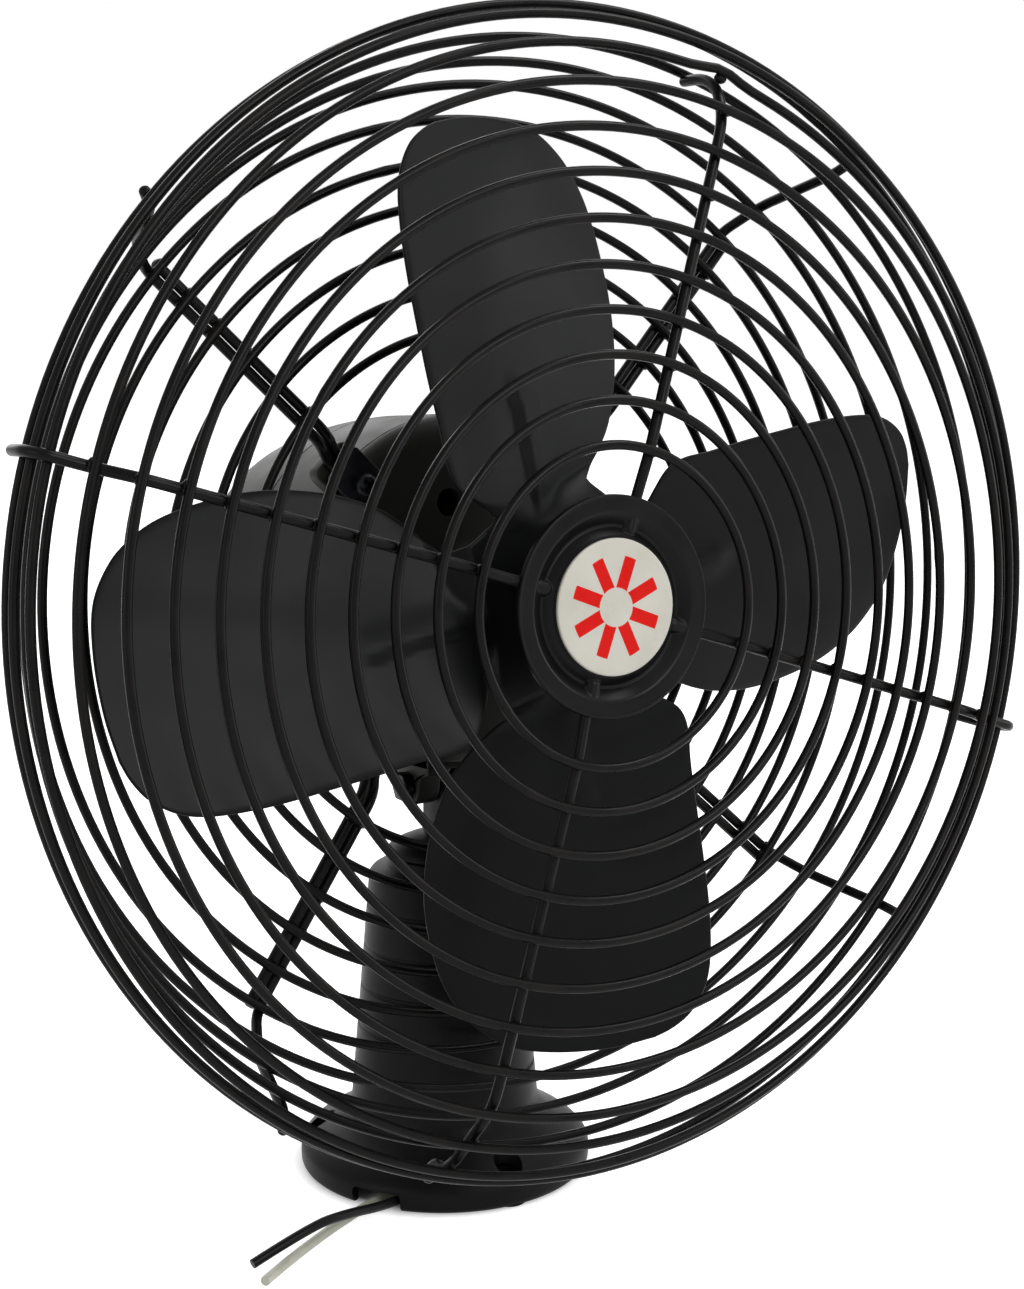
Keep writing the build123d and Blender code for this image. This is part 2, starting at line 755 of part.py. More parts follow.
front_rim_rings = guard_rings([shoulder_rings[1], outer_ring, front_rim_ring])
front_rim_rings.part.label = "front_rim_rings"
export_step(front_rim_rings.part, "parts/front_rim_rings.step")

spoke_face = ((10.3, 17.5), (10.35, 24.0), (11.2, 33.4), (8.65, 98.4), (7.85, 107.0), (2.7, 113.9))
spoke_paths = (
    (spoke_angles[0], (*spoke_face, (-3.0, 116.5), (-10.2, 116.7))),
    (spoke_angles[1], (*spoke_face, (2.0, 124.1), (-1.2, 126.9), (-8.6, 126.9), (-10.1, 125.4), (-10.1, 117.5))),
    (spoke_angles[2], (*spoke_face, (-2.2, 120.6), (-4.4, 122.3), (-8.3, 122.3), (-10.4, 123.8), (-10.4, 126.4))),
    (spoke_angles[3], (*spoke_face, (2.0, 124.1), (-1.2, 126.9), (-8.0, 126.9))),
)
with BuildPart() as front_guard_spokes:
    for angle, path in spoke_paths:
        add(guard_rod(path, angle).part)
front_guard_spokes.part.label = "front_guard_spokes"
export_step(front_guard_spokes.part, "parts/front_guard_spokes.step")

rear_rim_ring = guard_rings([rear_rim])
rear_rim_ring.part.label = "rear_rim_ring"
export_step(rear_rim_ring.part, "parts/rear_rim_ring.step")

rear_side_rings = guard_rings(side_rings)
rear_side_rings.part.label = "rear_side_rings"
export_step(rear_side_rings.part, "parts/rear_side_rings.step")

back_rings = [(back_ring_first + k * back_ring_pitch, back_plane) for k in range(back_ring_count)]
rear_back_rings = guard_rings([*back_rings, (back_ring_outer, back_plane)])
rear_back_rings.part.label = "rear_back_rings"
export_step(rear_back_rings.part, "parts/rear_back_rings.step")

rib_wire_at = lug_seat + rod_wire / 2 - rim_ahead
rib_path = (
    (rib_wire_at, 41.0),
    (rib_wire_at, 46.5),
    (back_plane - 2.2, 52.0),
    (back_plane - 2.2, 106.3),
    (-33.6, 114.0),
    (-12.9, 121.8),
    (-9.2, 125.4),
)
with BuildPart() as rear_ribs:
    for angle in rib_angles:
        add(guard_rod(rib_path, angle, rib_leg_spacing / 2, rod_wire).part)
        add(guard_rod(rib_path[:3] + ((back_plane - 2.2, rib_short_leg_end),), angle, -rib_leg_spacing / 2).part)
        with BuildSketch(across(lug_seat + 2 * weld_sink)):
            with Locations(clock_point(41.5, angle)):
                Rectangle(rib_leg_spacing, 2.0, rotation=-angle)
        extrude(amount=rod_wire - 4 * weld_sink)
rear_ribs.part.label = "rear_ribs"
export_step(rear_ribs.part, "parts/rear_ribs.step")

# Clamp plates and screws that hold the rear ribs on the motor's lugs
clamp_seat = lug_seat + rod_wire
clamp_plate_thickness = 1.2
clamp_plate_size = (10.0, 11.0)
clamp_screw_head = 2.8
with BuildPart() as guard_clamps:
    for angle in rib_angles:
        with BuildSketch(across(clamp_seat)):
            with Locations(clock_point(38.8, angle)):
                Rectangle(*clamp_plate_size, rotation=-angle)
            with Locations(clock_point(clamp_boss_at, angle)):
                RegularPolygon(clamp_screw_radius + running_clearance, screw_sides, mode=Mode.SUBTRACT)
        extrude(amount=clamp_plate_thickness)
guard_clamps.part.label = "guard_clamps"
export_step(guard_clamps.part, "parts/guard_clamps.step")

with BuildPart() as guard_screws:
    for angle in rib_angles:
        with BuildSketch(across(clamp_seat + clamp_plate_thickness)):
            with Locations(clock_point(clamp_boss_at, angle)):
                RegularPolygon(clamp_screw_head, screw_sides)
        extrude(amount=1.9)
        with BuildSketch(across(clamp_seat + clamp_plate_thickness)):
            with Locations(clock_point(clamp_boss_at, angle)):
                RegularPolygon(clamp_screw_radius - 0.02, screw_sides)
        extrude(amount=-clamp_plate_thickness - rod_wire)
guard_screws.part.label = "guard_screws"
export_step(guard_screws.part, "parts/guard_screws.step")

# Centre cap of the front guard: a pressed dish with a disc bonded in its middle
cap_back = cap_plane - 0.8
groove_outer = 21.2
groove_inner = 15.6
cap_front = rim_ahead + cap_plane
cap_groove_depth = 0.4
cap_raise = 0.3
with BuildPart() as guard_cap:
    add(tapered_stack(across, ((rim_ahead + cap_back, cap_radius), (cap_front, cap_radius))).part)
    groove_floor = cap_front - cap_groove_depth
    add(tapered_stack(across, ((groove_floor, groove_outer - 0.8), (cap_front, groove_outer))).part, mode=Mode.SUBTRACT)
    add(tapered_stack(across, ((groove_floor, groove_inner + 0.8), (cap_front + cap_raise, groove_inner))).part)
guard_cap.part.label = "guard_cap"
export_step(guard_cap.part, "parts/guard_cap.step")

with BuildPart() as cap_disc:
    add(tapered_stack(across, ((cap_front + cap_raise, disc_radius), (cap_front + cap_raise + 0.4, disc_radius))).part)
cap_disc.part.label = "cap_disc"
export_step(cap_disc.part, "parts/cap_disc.step")


# Leads: straight runs joined by arcs, lying on the floor from the clip in the hollow foot
def lead_radii(points):
    """Arc radius for each corner of a lead, fitted to the shorter of the corner's two runs."""
    corners = [Vector(*p) for p in points]
    radii = []
    for before, here, after in zip(corners, corners[1:], corners[2:]):
        half_turn = radians((here - before).get_angle(after - here)) / 2
        shorter = min((here - before).length, (after - here).length)
        radii.append(0.45 * shorter / tan(half_turn))
    print("lead radii", [round(r, 1) for r in radii])
    return radii


lead_rest = lead_diameter / 2
lead_hump = 6.0
black_points = (
    (-11.5, -16.8, lead_rest + 0.6),
    (-26.9, -21.8, 1.9),
    (-42.6, -28.9, lead_hump),
    (-52.2, -30.7, lead_hump),
    (-67.0, -31.6, lead_rest),
)
white_points = (
    (-11.5, -11.4, lead_rest + 0.6),
    (-35.0, -16.6, lead_rest),
    (-68.3, -40.5, lead_rest),
)
with BuildPart() as black_lead:
    with BuildLine() as black_route:
        FilletPolyline(*black_points, radius=lead_radii(black_points))
    with BuildSketch(Plane(origin=black_route.line @ 0, z_dir=black_route.line % 0)):
        Circle(lead_diameter / 2)
    sweep()
black_lead.part.label = "black_lead"
export_step(black_lead.part, "parts/black_lead.step")

with BuildPart() as white_lead:
    with BuildLine() as white_route:
        FilletPolyline(*white_points, radius=lead_radii(white_points))
    with BuildSketch(Plane(origin=white_route.line @ 0, z_dir=white_route.line % 0)):
        Circle(lead_diameter / 2)
    sweep()
white_lead.part.label = "white_lead"
export_step(white_lead.part, "parts/white_lead.step")

# Lead clip inside the foot
clip_size = (4.0, 12.0, 5.0)
with BuildPart() as lead_clip:
    with BuildSketch(Plane(origin=(-11.0, -14.1, 4.0), x_dir=(0, 1, 0), z_dir=(-1, 0, 0))):
        Rectangle(clip_size[1], clip_size[2])
    extrude(amount=-clip_size[0])
lead_clip.part.label = "lead_clip"
export_step(lead_clip.part, "parts/lead_clip.step")
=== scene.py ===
import math
import bmesh
import bpy
import numpy as np
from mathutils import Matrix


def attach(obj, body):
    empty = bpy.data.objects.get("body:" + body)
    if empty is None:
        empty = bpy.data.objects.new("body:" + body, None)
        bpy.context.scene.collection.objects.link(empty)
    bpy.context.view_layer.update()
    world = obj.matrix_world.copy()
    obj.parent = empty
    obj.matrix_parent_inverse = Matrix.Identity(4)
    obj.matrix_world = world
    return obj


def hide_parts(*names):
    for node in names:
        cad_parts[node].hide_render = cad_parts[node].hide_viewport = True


# Screw-down vehicle fan: a tapered moulded column on a bell foot carries a motor head
# with four pressed blades inside a welded, dip-painted wire guard.
# Sizes are in millimetres. The fan blows toward -Y, and clock angles run from the top of
# the head, clockwise as seen from the front.

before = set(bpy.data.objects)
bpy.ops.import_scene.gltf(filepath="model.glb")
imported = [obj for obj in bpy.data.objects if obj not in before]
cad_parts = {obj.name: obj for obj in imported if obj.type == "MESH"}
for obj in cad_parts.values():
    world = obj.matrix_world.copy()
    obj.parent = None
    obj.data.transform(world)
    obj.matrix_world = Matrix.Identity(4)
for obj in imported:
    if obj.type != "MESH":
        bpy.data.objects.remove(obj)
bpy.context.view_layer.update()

MM = 0.001
FULL_TURN = 2 * math.pi


def add_object(name, data):
    """New object with the given data, linked into the scene."""
    item = bpy.data.objects.new(name, data)
    bpy.context.scene.collection.objects.link(item)
    return item


def metres(place):
    """Lengths in metres: each length in mm times 0.001."""
    return [length * MM for length in place]


# The photograph's camera
CAMERA_PLACE = (-285.45, -494.03, 242.67)
CAMERA_AZIMUTH = -31.65
CAMERA_ELEVATION = 11.5
CAMERA_LENS = 69.82

camera_data = bpy.data.cameras.new("photo_camera")
camera_data.lens = CAMERA_LENS
camera = add_object("photo_camera", camera_data)
camera.location = metres(CAMERA_PLACE)
camera.rotation_euler = (math.radians(90 - CAMERA_ELEVATION), 0, math.radians(CAMERA_AZIMUTH))
bpy.context.scene.camera = camera

# Head frame
HEAD_HEIGHT = 140.25
HEAD_TILT = math.radians(5.33)
RIM_AHEAD = 59.5
FORWARD = np.array((0.0, -math.cos(HEAD_TILT), math.sin(HEAD_TILT)))
UPWARD = np.array((0.0, math.sin(HEAD_TILT), math.cos(HEAD_TILT)))
SIDEWAYS = np.array((1.0, 0.0, 0.0))
HEAD_CENTRE = np.array((0.0, 0.0, HEAD_HEIGHT))


def head_points(right, up, ahead):
    """Places given sideways, up and along the head's axis, added up from its centre."""
    right, up, ahead = np.broadcast_arrays(*[np.asarray(v, float)[..., None] for v in (right, up, ahead)])
    return HEAD_CENTRE + right * SIDEWAYS + up * UPWARD + ahead * FORWARD


def clock_points(radius, angle, ahead):
    """Places on circles round the head's axis: the sine goes sideways, the cosine up."""
    return head_points(radius * np.sin(angle), radius * np.cos(angle), ahead)


def floor_points(radius, angle, height):
    """Places on circles round the column's axis, angle from +X, at a height."""
    radius, angle, height = np.broadcast_arrays(radius, angle, height)
    return np.stack([radius * np.cos(angle), radius * np.sin(angle), height], -1)


def clock_direction(degrees):
    """Direction away from the head's axis: the sine of the clock angle goes sideways, the
    cosine up."""
    return SIDEWAYS * math.sin(math.radians(degrees)) + UPWARD * math.cos(math.radians(degrees))


def even_turn(count):
    """Angles at even steps round a full turn."""
    return np.arange(count) * FULL_TURN / count


def smooth_line(points, per_span):
    """Curve through given points: between neighbours it is the cubic whose slope at
    each point is half the step between the points on both sides of it."""
    points = np.asarray(points, float)
    padded = np.vstack([2 * points[0] - points[1], points, 2 * points[-1] - points[-2]])[:, None]
    before, here, after, beyond = padded[:-3], padded[1:-2], padded[2:-1], padded[3:]
    t = (np.arange(per_span) / per_span)[None, :, None]
    curve = 0.5 * (
        2 * here
        + (after - before) * t
        + (2 * before - 5 * here + 4 * after - beyond) * t**2
        + (3 * here - before - 3 * after + beyond) * t**3
    )
    return np.vstack([curve.reshape(-1, curve.shape[-1]), points[-1:]])


def bent_line(corners, bend, steps=9):
    """Rod bent over pins: straight runs, and at each corner the parabola that touches both
    runs a bend length from the corner."""
    corners = np.asarray(corners, float)
    here = corners[1:-1]
    run_in = here - corners[:-2]
    run_out = corners[2:] - here
    size_in = np.linalg.norm(run_in, axis=1, keepdims=True)
    size_out = np.linalg.norm(run_out, axis=1, keepdims=True)
    trim = np.minimum(bend, 0.48 * np.minimum(size_in, size_out))
    start = (here - run_in / size_in * trim)[:, None]
    end = (here + run_out / size_out * trim)[:, None]
    t = np.linspace(0, 1, steps)[None, :, None]
    arcs = (1 - t) ** 2 * start + 2 * t * (1 - t) * here[:, None] + t**2 * end
    return np.vstack([corners[:1], arcs.reshape(-1, corners.shape[1]), corners[-1:]])


def unit(vectors):
    """Directions: each vector divided by its own length."""
    return vectors / np.linalg.norm(vectors, axis=-1, keepdims=True)


def smooth_step(value, low, high):
    """0 below low, 1 above high, and 3t^2 - 2t^3 between them."""
    t = np.clip((value - low) / (high - low), 0, 1)
    return t * t * (3 - 2 * t)


DOME_ROWS = 4
DOME_HEIGHT = 0.75


def tube(path, radius, reference, closed=False, sides=14):
    """Round wire: at each path point a circle square to the path. Its first axis is the
    path's direction crossed with the reference. Open ends close with half an ellipsoid."""
    path = np.asarray(path, float)
    radius = np.broadcast_to(np.asarray(radius, float), path.shape[:1])
    if closed:
        along = unit(np.roll(path, -1, 0) - np.roll(path, 1, 0))
    else:
        along = unit(np.gradient(path, axis=0))
        swell = np.linspace(0, math.pi / 2, DOME_ROWS + 1)[:-1]
        first = path[0] - along[0] * (radius[0] * DOME_HEIGHT * np.cos(swell))[:, None]
        last = path[-1] + along[-1] * (radius[-1] * DOME_HEIGHT * np.cos(swell[::-1]))[:, None]
        path = np.vstack([first, path, last])
        ends = [np.repeat(end, DOME_ROWS, 0) for end in (along[:1], along[-1:])]
        along = np.vstack([ends[0], along, ends[1]])
        radius = np.concatenate([radius[0] * np.sin(swell), radius, radius[-1] * np.sin(swell[::-1])])
    across = unit(np.cross(along, reference))
    up = np.cross(across, along)
    turn = even_turn(sides)[None, :, None]
    circle = np.cos(turn) * across[:, None] + np.sin(turn) * up[:, None]
    return path[:, None] + radius[:, None, None] * circle, closed, True


def turned(profile, place, steps=160, closed=False):
    """Turned body: each (radius, position) of the profile is carried round the axis."""
    profile = np.asarray(profile, float)
    return place(profile[:, :1], even_turn(steps)[None, :], profile[:, 1:]), closed, True


def slab(outline, low, high, edge, place, rounds=3):
    """Plate with rolled edges: the outline, drawn in along its normals by edge(1 - cos a)
    while its height climbs by edge sin a, closed by a fan to the middle of each face."""
    outline = np.asarray(outline, float)
    step = unit(np.roll(outline, -1, 0) - np.roll(outline, 1, 0))
    outward = np.stack([step[:, 1], -step[:, 0]], -1)
    middle = outline.mean(0)
    outward *= np.sign(np.sum(outward * (outline - middle), axis=1, keepdims=True))
    a = np.linspace(0, math.pi / 2, rounds + 1)
    inset = edge * (1 - np.cos(a))
    climb = edge * np.sin(a)
    insets = np.concatenate([inset[::-1], inset])
    heights = np.concatenate([low + edge - climb[::-1], high - edge + climb])
    rows = outline[None] - insets[:, None, None] * outward[None]
    fan = np.broadcast_to(middle, rows[:1].shape)
    rows = np.concatenate([fan, rows, fan])
    heights = np.concatenate([[low], heights, [high]])[:, None]
    return place(rows[..., 0], rows[..., 1], np.broadcast_to(heights, rows.shape[:2])), False, True


def rounded_box(width, height, corner, steps=5):
    """Outline of a rectangle with quarter-circle corners."""
    turn = np.linspace(0, math.pi / 2, steps)
    arc = np.stack([np.cos(turn), np.sin(turn)], -1) * corner
    middles = np.array(((1, 1), (-1, 1), (-1, -1), (1, -1))) * (width / 2 - corner, height / 2 - corner)
    spins = (((1, 0), (0, 1)), ((0, 1), (-1, 0)), ((-1, 0), (0, -1)), ((0, -1), (1, 0)))
    return np.concatenate([middle + arc @ np.array(spin) for middle, spin in zip(middles, spins)])


def lattice(rows, cols, wrap_rows, wrap_cols):
    """Four-cornered faces between neighbouring points of a rows x cols lattice."""
    counts = (rows if wrap_rows else rows - 1, cols if wrap_cols else cols - 1)
    row, col = np.indices(counts)
    next_row, next_col = (row + 1) % rows, (col + 1) % cols
    corners = ((row, col), (row, next_col), (next_row, next_col), (next_row, col))
    return np.stack([r * cols + c for r, c in corners], -1).reshape(-1, 4)


# In metres: points closer than the first are one, and edges shorter than the second go
MERGED = 1e-6
SLIVER = 1e-7


def make_mesh(name, sheets, uv=None):
    """Mesh of point lattices: faces by lattice(), poles and seams merged, faces outward.
    Its map, if it has one, gives a (u, v) to each point of the lattices."""
    points, faces, first = [], [], 0
    for sheet, wrap_rows, wrap_cols in sheets:
        rows, cols = sheet.shape[:2]
        points.append(sheet.reshape(-1, 3))
        faces.append(lattice(rows, cols, wrap_rows, wrap_cols) + first)
        first += rows * cols
    points = np.concatenate(points) * MM
    faces = np.concatenate(faces)
    mesh = bpy.data.meshes.new(name)
    mesh.vertices.add(len(points))
    mesh.vertices.foreach_set("co", points.astype(np.float32).ravel())
    mesh.loops.add(faces.size)
    mesh.loops.foreach_set("vertex_index", faces.astype(np.int32).ravel())
    mesh.polygons.add(len(faces))
    mesh.polygons.foreach_set("loop_start", np.arange(0, faces.size, 4, dtype=np.int32))
    mesh.update(calc_edges=True)
    if uv is not None:
        corners = uv.reshape(-1, 2)[faces.ravel()].astype(np.float32)
        mesh.uv_layers.new(name="UVMap").data.foreach_set("uv", corners.ravel())
    shell = bmesh.new()
    shell.from_mesh(mesh)
    bmesh.ops.remove_doubles(shell, verts=shell.verts, dist=MERGED)
    bmesh.ops.dissolve_degenerate(shell, edges=shell.edges, dist=SLIVER)
    bmesh.ops.recalc_face_normals(shell, faces=shell.faces)
    shell.to_mesh(mesh)
    shell.free()
    return mesh


def make_piece(name, sheets, look, *nodes, crease=38):
    """Piece from point lattices or a mesh, smooth except where its faces meet at more than
    crease degrees. Its look is its material, slot and body, of which the slot is not used,
    and it stands for CAD nodes."""
    material, slot, body = look
    mesh = sheets if isinstance(sheets, bpy.types.Mesh) else make_mesh(name, sheets)
    mesh.shade_smooth()
    mesh.set_sharp_from_angle(angle=math.radians(crease))
    mesh.materials.clear()
    mesh.materials.append(material)
    piece = add_object(name, mesh)
    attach(piece, body)
    if nodes:
        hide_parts(*nodes)


def carve(name, body, *tools):
    """Boolean of a body with tools in turn, each given as (operation, point lattices)."""
    subject = add_object(name, make_mesh(name, [body]))
    helpers = []
    for operation, sheets in tools:
        helper = add_object(name + "_tool", make_mesh(name + "_tool", sheets))
        helpers.append(helper)
        cut = subject.modifiers.new(operation, "BOOLEAN")
        cut.operation = operation
        cut.solver = "EXACT"
        cut.object = helper
    bpy.context.view_layer.update()
    evaluated = subject.evaluated_get(bpy.context.evaluated_depsgraph_get())
    carved = bpy.data.meshes.new_from_object(evaluated)
    carved.name = name
    for item in [subject, *helpers]:
        bpy.data.objects.remove(item, do_unlink=True)
    return carved


# Materials
def linear(hex_colour):
    """sRGB hex colour to the linear values that the shader takes."""
    channels = [int(hex_colour[i : i + 2], 16) / 255 for i in (1, 3, 5)]
    return (*[c / 12.92 if c <= 0.04045 else ((c + 0.055) / 1.055) ** 2.4 for c in channels], 1.0)


def add_node(tree, kind, settings=(), links=()):
    """Adds a shader node, gives its properties and sockets their values, and links its
    inputs."""
    node = tree.nodes.new("ShaderNode" + kind)
    for key, value in dict(settings).items():
        if isinstance(key, int) or key in node.inputs:
            node.inputs[key].default_value = value
        else:
            setattr(node, key, value)
    for key, output in dict(links).items():
        tree.links.new(output, node.inputs[key])
    return node


# The parts of the noise's range over which the shade and the roughness change
SHADE_BAND = (0.32, 0.68)
ROUGH_BAND = (0.3, 0.7)
ROUGH_SPREAD = 0.06
NOISE_DETAIL = 3.0


def finish(name, dark, light, patch, grain, relief, rough, **shader):
    """Surface finish: two close shades in soft patches of a given size in mm, a relief of a
    given grain size and height in mm, and a roughness that rises where the shade is light."""
    material = bpy.data.materials.new(name)
    material.use_nodes = True
    tree = material.node_tree
    surface = tree.nodes["Principled BSDF"]
    place = add_node(tree, "TexCoord").outputs["Object"]
    sizes = {"Scale": 1 / (patch * MM), "Detail": NOISE_DETAIL}
    patches = add_node(tree, "TexNoise", sizes, {"Vector": place})
    shade = add_node(tree, "ValToRGB", (), {"Fac": patches.outputs["Fac"]})
    for stop, position, colour in zip(shade.color_ramp.elements, SHADE_BAND, (dark, light)):
        stop.position = position
        stop.color = linear(colour)
    tree.links.new(shade.outputs["Color"], surface.inputs["Base Color"])
    spread = {"From Min": ROUGH_BAND[0], "From Max": ROUGH_BAND[1]}
    spread.update({"To Min": rough - ROUGH_SPREAD, "To Max": rough + ROUGH_SPREAD})
    roughness = add_node(tree, "MapRange", spread, {"Value": patches.outputs["Fac"]})
    tree.links.new(roughness.outputs["Result"], surface.inputs["Roughness"])
    sizes = {"Scale": 1 / (grain * MM), "Detail": NOISE_DETAIL}
    grains = add_node(tree, "TexNoise", sizes, {"Vector": place})
    bump = add_node(tree, "Bump", {"Distance": relief * MM}, {"Height": grains.outputs["Fac"]})
    tree.links.new(bump.outputs["Normal"], surface.inputs["Normal"])
    for socket, value in shader.items():
        surface.inputs[socket.replace("_", " ")].default_value = value
    return material


# The black finishes start from paint's and nylon's usual IOR of about 1.5, brought down until
# they reflect as little as the real ones

# Dip-painted steel wire: thick black enamel, slightly wavy where it ran before it set
wire_enamel = finish("dip_enamel_on_wire", "#080808", "#100e0d", 9, 1.6, 0.03, 0.3, IOR=1.17)
# Sprayed enamel on pressed steel: smooth and satin, with a faint orange peel
blade_enamel = finish("sprayed_enamel_on_steel", "#08080a", "#0c0d0d", 26, 0.9, 0.006, 0.34, IOR=1.18)
# Stoved enamel on the motor's pressed shells: softer and a little paler
casing_enamel = finish("stoved_enamel_on_casing", "#232421", "#262724", 14, 0.7, 0.008, 0.5, IOR=1.2)
# Moulded glass-filled nylon: even satin black with a fine spark-eroded texture
moulded_nylon = finish("moulded_glass_filled_nylon", "#060606", "#0b0b0b", 11, 0.45, 0.012, 0.44, IOR=1.18)
# Pressed and painted cap: the same enamel, smoother than the blades
cap_enamel = finish("painted_pressed_cap", "#090909", "#0c0c0c", 12, 0.8, 0.005, 0.32, IOR=1.18)
# Blackened steel fasteners: oxide with an oily sheen
black_oxide = finish("blackened_steel", "#17181a", "#24252a", 3, 0.3, 0.006, 0.38, Metallic=0.85)
# Zinc-plated steel: pale, slightly cloudy metal
zinc_plate = finish("zinc_plated_steel", "#a5a39c", "#bfbdb5", 4, 0.3, 0.004, 0.32, Metallic=1.0)
# Turned brass: bright yellow metal with fine tool marks
turned_brass = finish("turned_brass", "#b08d4a", "#cdab62", 2, 0.15, 0.006, 0.28, Metallic=1.0)
# Sintered bronze: dull brown metal, porous and oily
sintered_bronze = finish("sintered_bronze", "#8a6138", "#a5784a", 2, 0.12, 0.02, 0.48, Metallic=1.0)
# Copper segments turned bright where the brushes run
turned_copper = finish("turned_copper", "#a8653f", "#c07a50", 3, 0.2, 0.004, 0.3, Metallic=1.0)
# Sintered ferrite: dark grey ceramic with a ground face
ground_ferrite = finish("ground_ferrite", "#2f2f30", "#3d3d3e", 5, 0.4, 0.02, 0.6, IOR=1.9)
# Pressed carbon: soft black block with graphite glints
pressed_carbon = finish("pressed_carbon", "#1d1d1e", "#2d2d2e", 2, 0.2, 0.01, 0.45, IOR=1.8)
# Paper resin board: brown, with a fibrous punched face
resin_board = finish("paper_resin_board", "#5a3a20", "#6b4729", 6, 0.5, 0.02, 0.55)
# Soft PVC sleeve drawn over the leads' strands: waxy, with faint marks of the die
black_sleeve = finish("black_pvc_sleeve", "#070707", "#0c0c0b", 3, 0.5, 0.01, 0.42, IOR=1.22)
white_sleeve = finish("white_pvc_sleeve", "#a9a99a", "#bdbdaf", 4, 0.5, 0.01, 0.45)

# Looks that several pieces share: material, slot and body
GUARD_WIRE = (wire_enamel, "painted_wire", "head")
WHEEL_PAINT = (blade_enamel, "black_paint", "rotor")
CASTING = (casing_enamel, "black_casting", "head")
HEAD_STEEL = (black_oxide, "blackened_steel", "head")
NECK_NYLON = (moulded_nylon, "black_casting", "neck")
NECK_STEEL = (black_oxide, "blackened_steel", "neck")


# Floor, world and lamps. The floor's glow grows from none to full over two distances from the column's
# axis, a painted shadow under and round the foot.
FLOOR_HALF_WIDTH = 6000.0
FLOOR_DROP = 0.02
FLOOR_PAPER = 0.8
FLOOR_GLOW = 0.76
GLOW_STARTS = 31.0
GLOW_FULL = 37.0
WORLD_LIGHT = 0.32
WHITE = (1, 1, 1, 1)
LAMP_TARGET = (0, 0, 120)
# Softboxes: name, place, side in mm and power in watts
SOFTBOXES = (
    ("key_softbox", (230, -1310, 890), 850, 14.5),
    ("overhead_softbox", (700, -210, 1340), 650, 11),
    ("back_softbox", (150, 1150, 700), 900, 5),
    ("side_softbox", (-1500, -300, 500), 800, 4),
    ("right_softbox", (1400, -600, 430), 700, 5.5),
)


def mirror_sight(tree):
    """1 for what the camera, a mirror or glass sees, 0 for what only lights the object."""
    path = add_node(tree, "LightPath").outputs
    rays = {0: path["Is Camera Ray"], 1: path["Is Glossy Ray"]}
    seen = add_node(tree, "Math", {"operation": "ADD"}, rays)
    rays = {0: seen.outputs[0], 1: path["Is Transmission Ray"]}
    return add_node(tree, "Math", {"operation": "ADD", "use_clamp": True}, rays).outputs[0]


def white_stage():
    """Pale floor that takes the fan's shadow: white paper, plus a glow that only the
    camera, mirrors and glass see, so that it meets the white world without an edge. The
    glow fades out under the foot, by the distance from the column's axis, as painted
    shade under the foot and a painted contact shadow in a thin ring round it."""
    grid = np.array([[(-1, -1), (1, -1)], [(-1, 1), (1, 1)]], float) * FLOOR_HALF_WIDTH
    points = np.concatenate([grid, np.full((2, 2, 1), -FLOOR_DROP)], -1)
    mesh = make_mesh("studio_floor", [(points, False, False)])
    floor = add_object("studio_floor", mesh)
    material = bpy.data.materials.new("white_paper_floor")
    material.use_nodes = True
    tree = material.node_tree
    tree.nodes.clear()
    place = add_node(tree, "TexCoord").outputs["Object"]
    away = add_node(tree, "VectorMath", {"operation": "LENGTH"}, {0: place}).outputs["Value"]
    # Painted shadow: no glow within GLOW_STARTS of the axis, full glow past GLOW_FULL, so the floor
    # darkens under and round the foot
    fade = {"From Min": GLOW_STARTS * MM, "From Max": GLOW_FULL * MM, "To Min": 0.0, "To Max": FLOOR_GLOW}
    glow_beyond_painted_shadow = add_node(tree, "MapRange", fade, {"Value": away}).outputs["Result"]
    sides = {0: mirror_sight(tree), 1: glow_beyond_painted_shadow}
    level = add_node(tree, "Math", {"operation": "MULTIPLY"}, sides)
    glow = add_node(tree, "Emission", {"Color": WHITE}, {"Strength": level.outputs[0]})
    paper = add_node(tree, "BsdfDiffuse", {"Color": (*[FLOOR_PAPER] * 3, 1)})
    both = add_node(tree, "AddShader", (), {0: glow.outputs[0], 1: paper.outputs[0]})
    add_node(tree, "OutputMaterial", (), {"Surface": both.outputs[0]})
    floor.data.materials.append(material)


def white_world():
    """World that is white to the camera, mirrors and glass, and a softer grey as light."""
    world = bpy.data.worlds.new("white_surround")
    bpy.context.scene.world = world
    world.use_nodes = True
    tree = world.node_tree
    tree.nodes.clear()
    light = add_node(tree, "Background", {"Color": WHITE, "Strength": WORLD_LIGHT})
    sight = add_node(tree, "Background", {"Color": WHITE, "Strength": 1.0})
    sides = {0: mirror_sight(tree), 1: light.outputs[0], 2: sight.outputs[0]}
    mixed = add_node(tree, "MixShader", (), sides)
    add_node(tree, "OutputWorld", (), {"Surface": mixed.outputs[0]})


def softbox(name, place, size, power):
    """Square area lamp at a place in mm, turned to face the middle of the fan."""
    lamp = bpy.data.lights.new(name, "AREA")
    lamp.size = size * MM
    lamp.energy = power
    box = add_object(name, lamp)
    box.location = metres(place)
    aim = np.subtract(LAMP_TARGET, place)
    flat = math.hypot(aim[0], aim[1])
    box.rotation_euler = (math.atan2(flat, -aim[2]), 0, math.atan2(-aim[0], aim[1]))


bpy.context.scene.view_settings.view_transform = "Standard"
white_stage()
white_world()
for lamp_values in SOFTBOXES:
    softbox(*lamp_values)


# Leads. The control points are the route of the CAD tubes.
LEAD_DIAMETER = 2.2
BLACK_ROUTE = (
    (-11.5, -16.8, 1.7),
    (-26.9, -21.8, 1.9),
    (-42.6, -28.9, 6.0),
    (-52.2, -30.7, 6.0),
    (-67.0, -31.6, 1.1),
)
WHITE_ROUTE = (
    (-11.5, -11.4, 1.7),
    (-35.0, -16.6, 1.1),
    (-68.3, -40.5, 1.1),
)
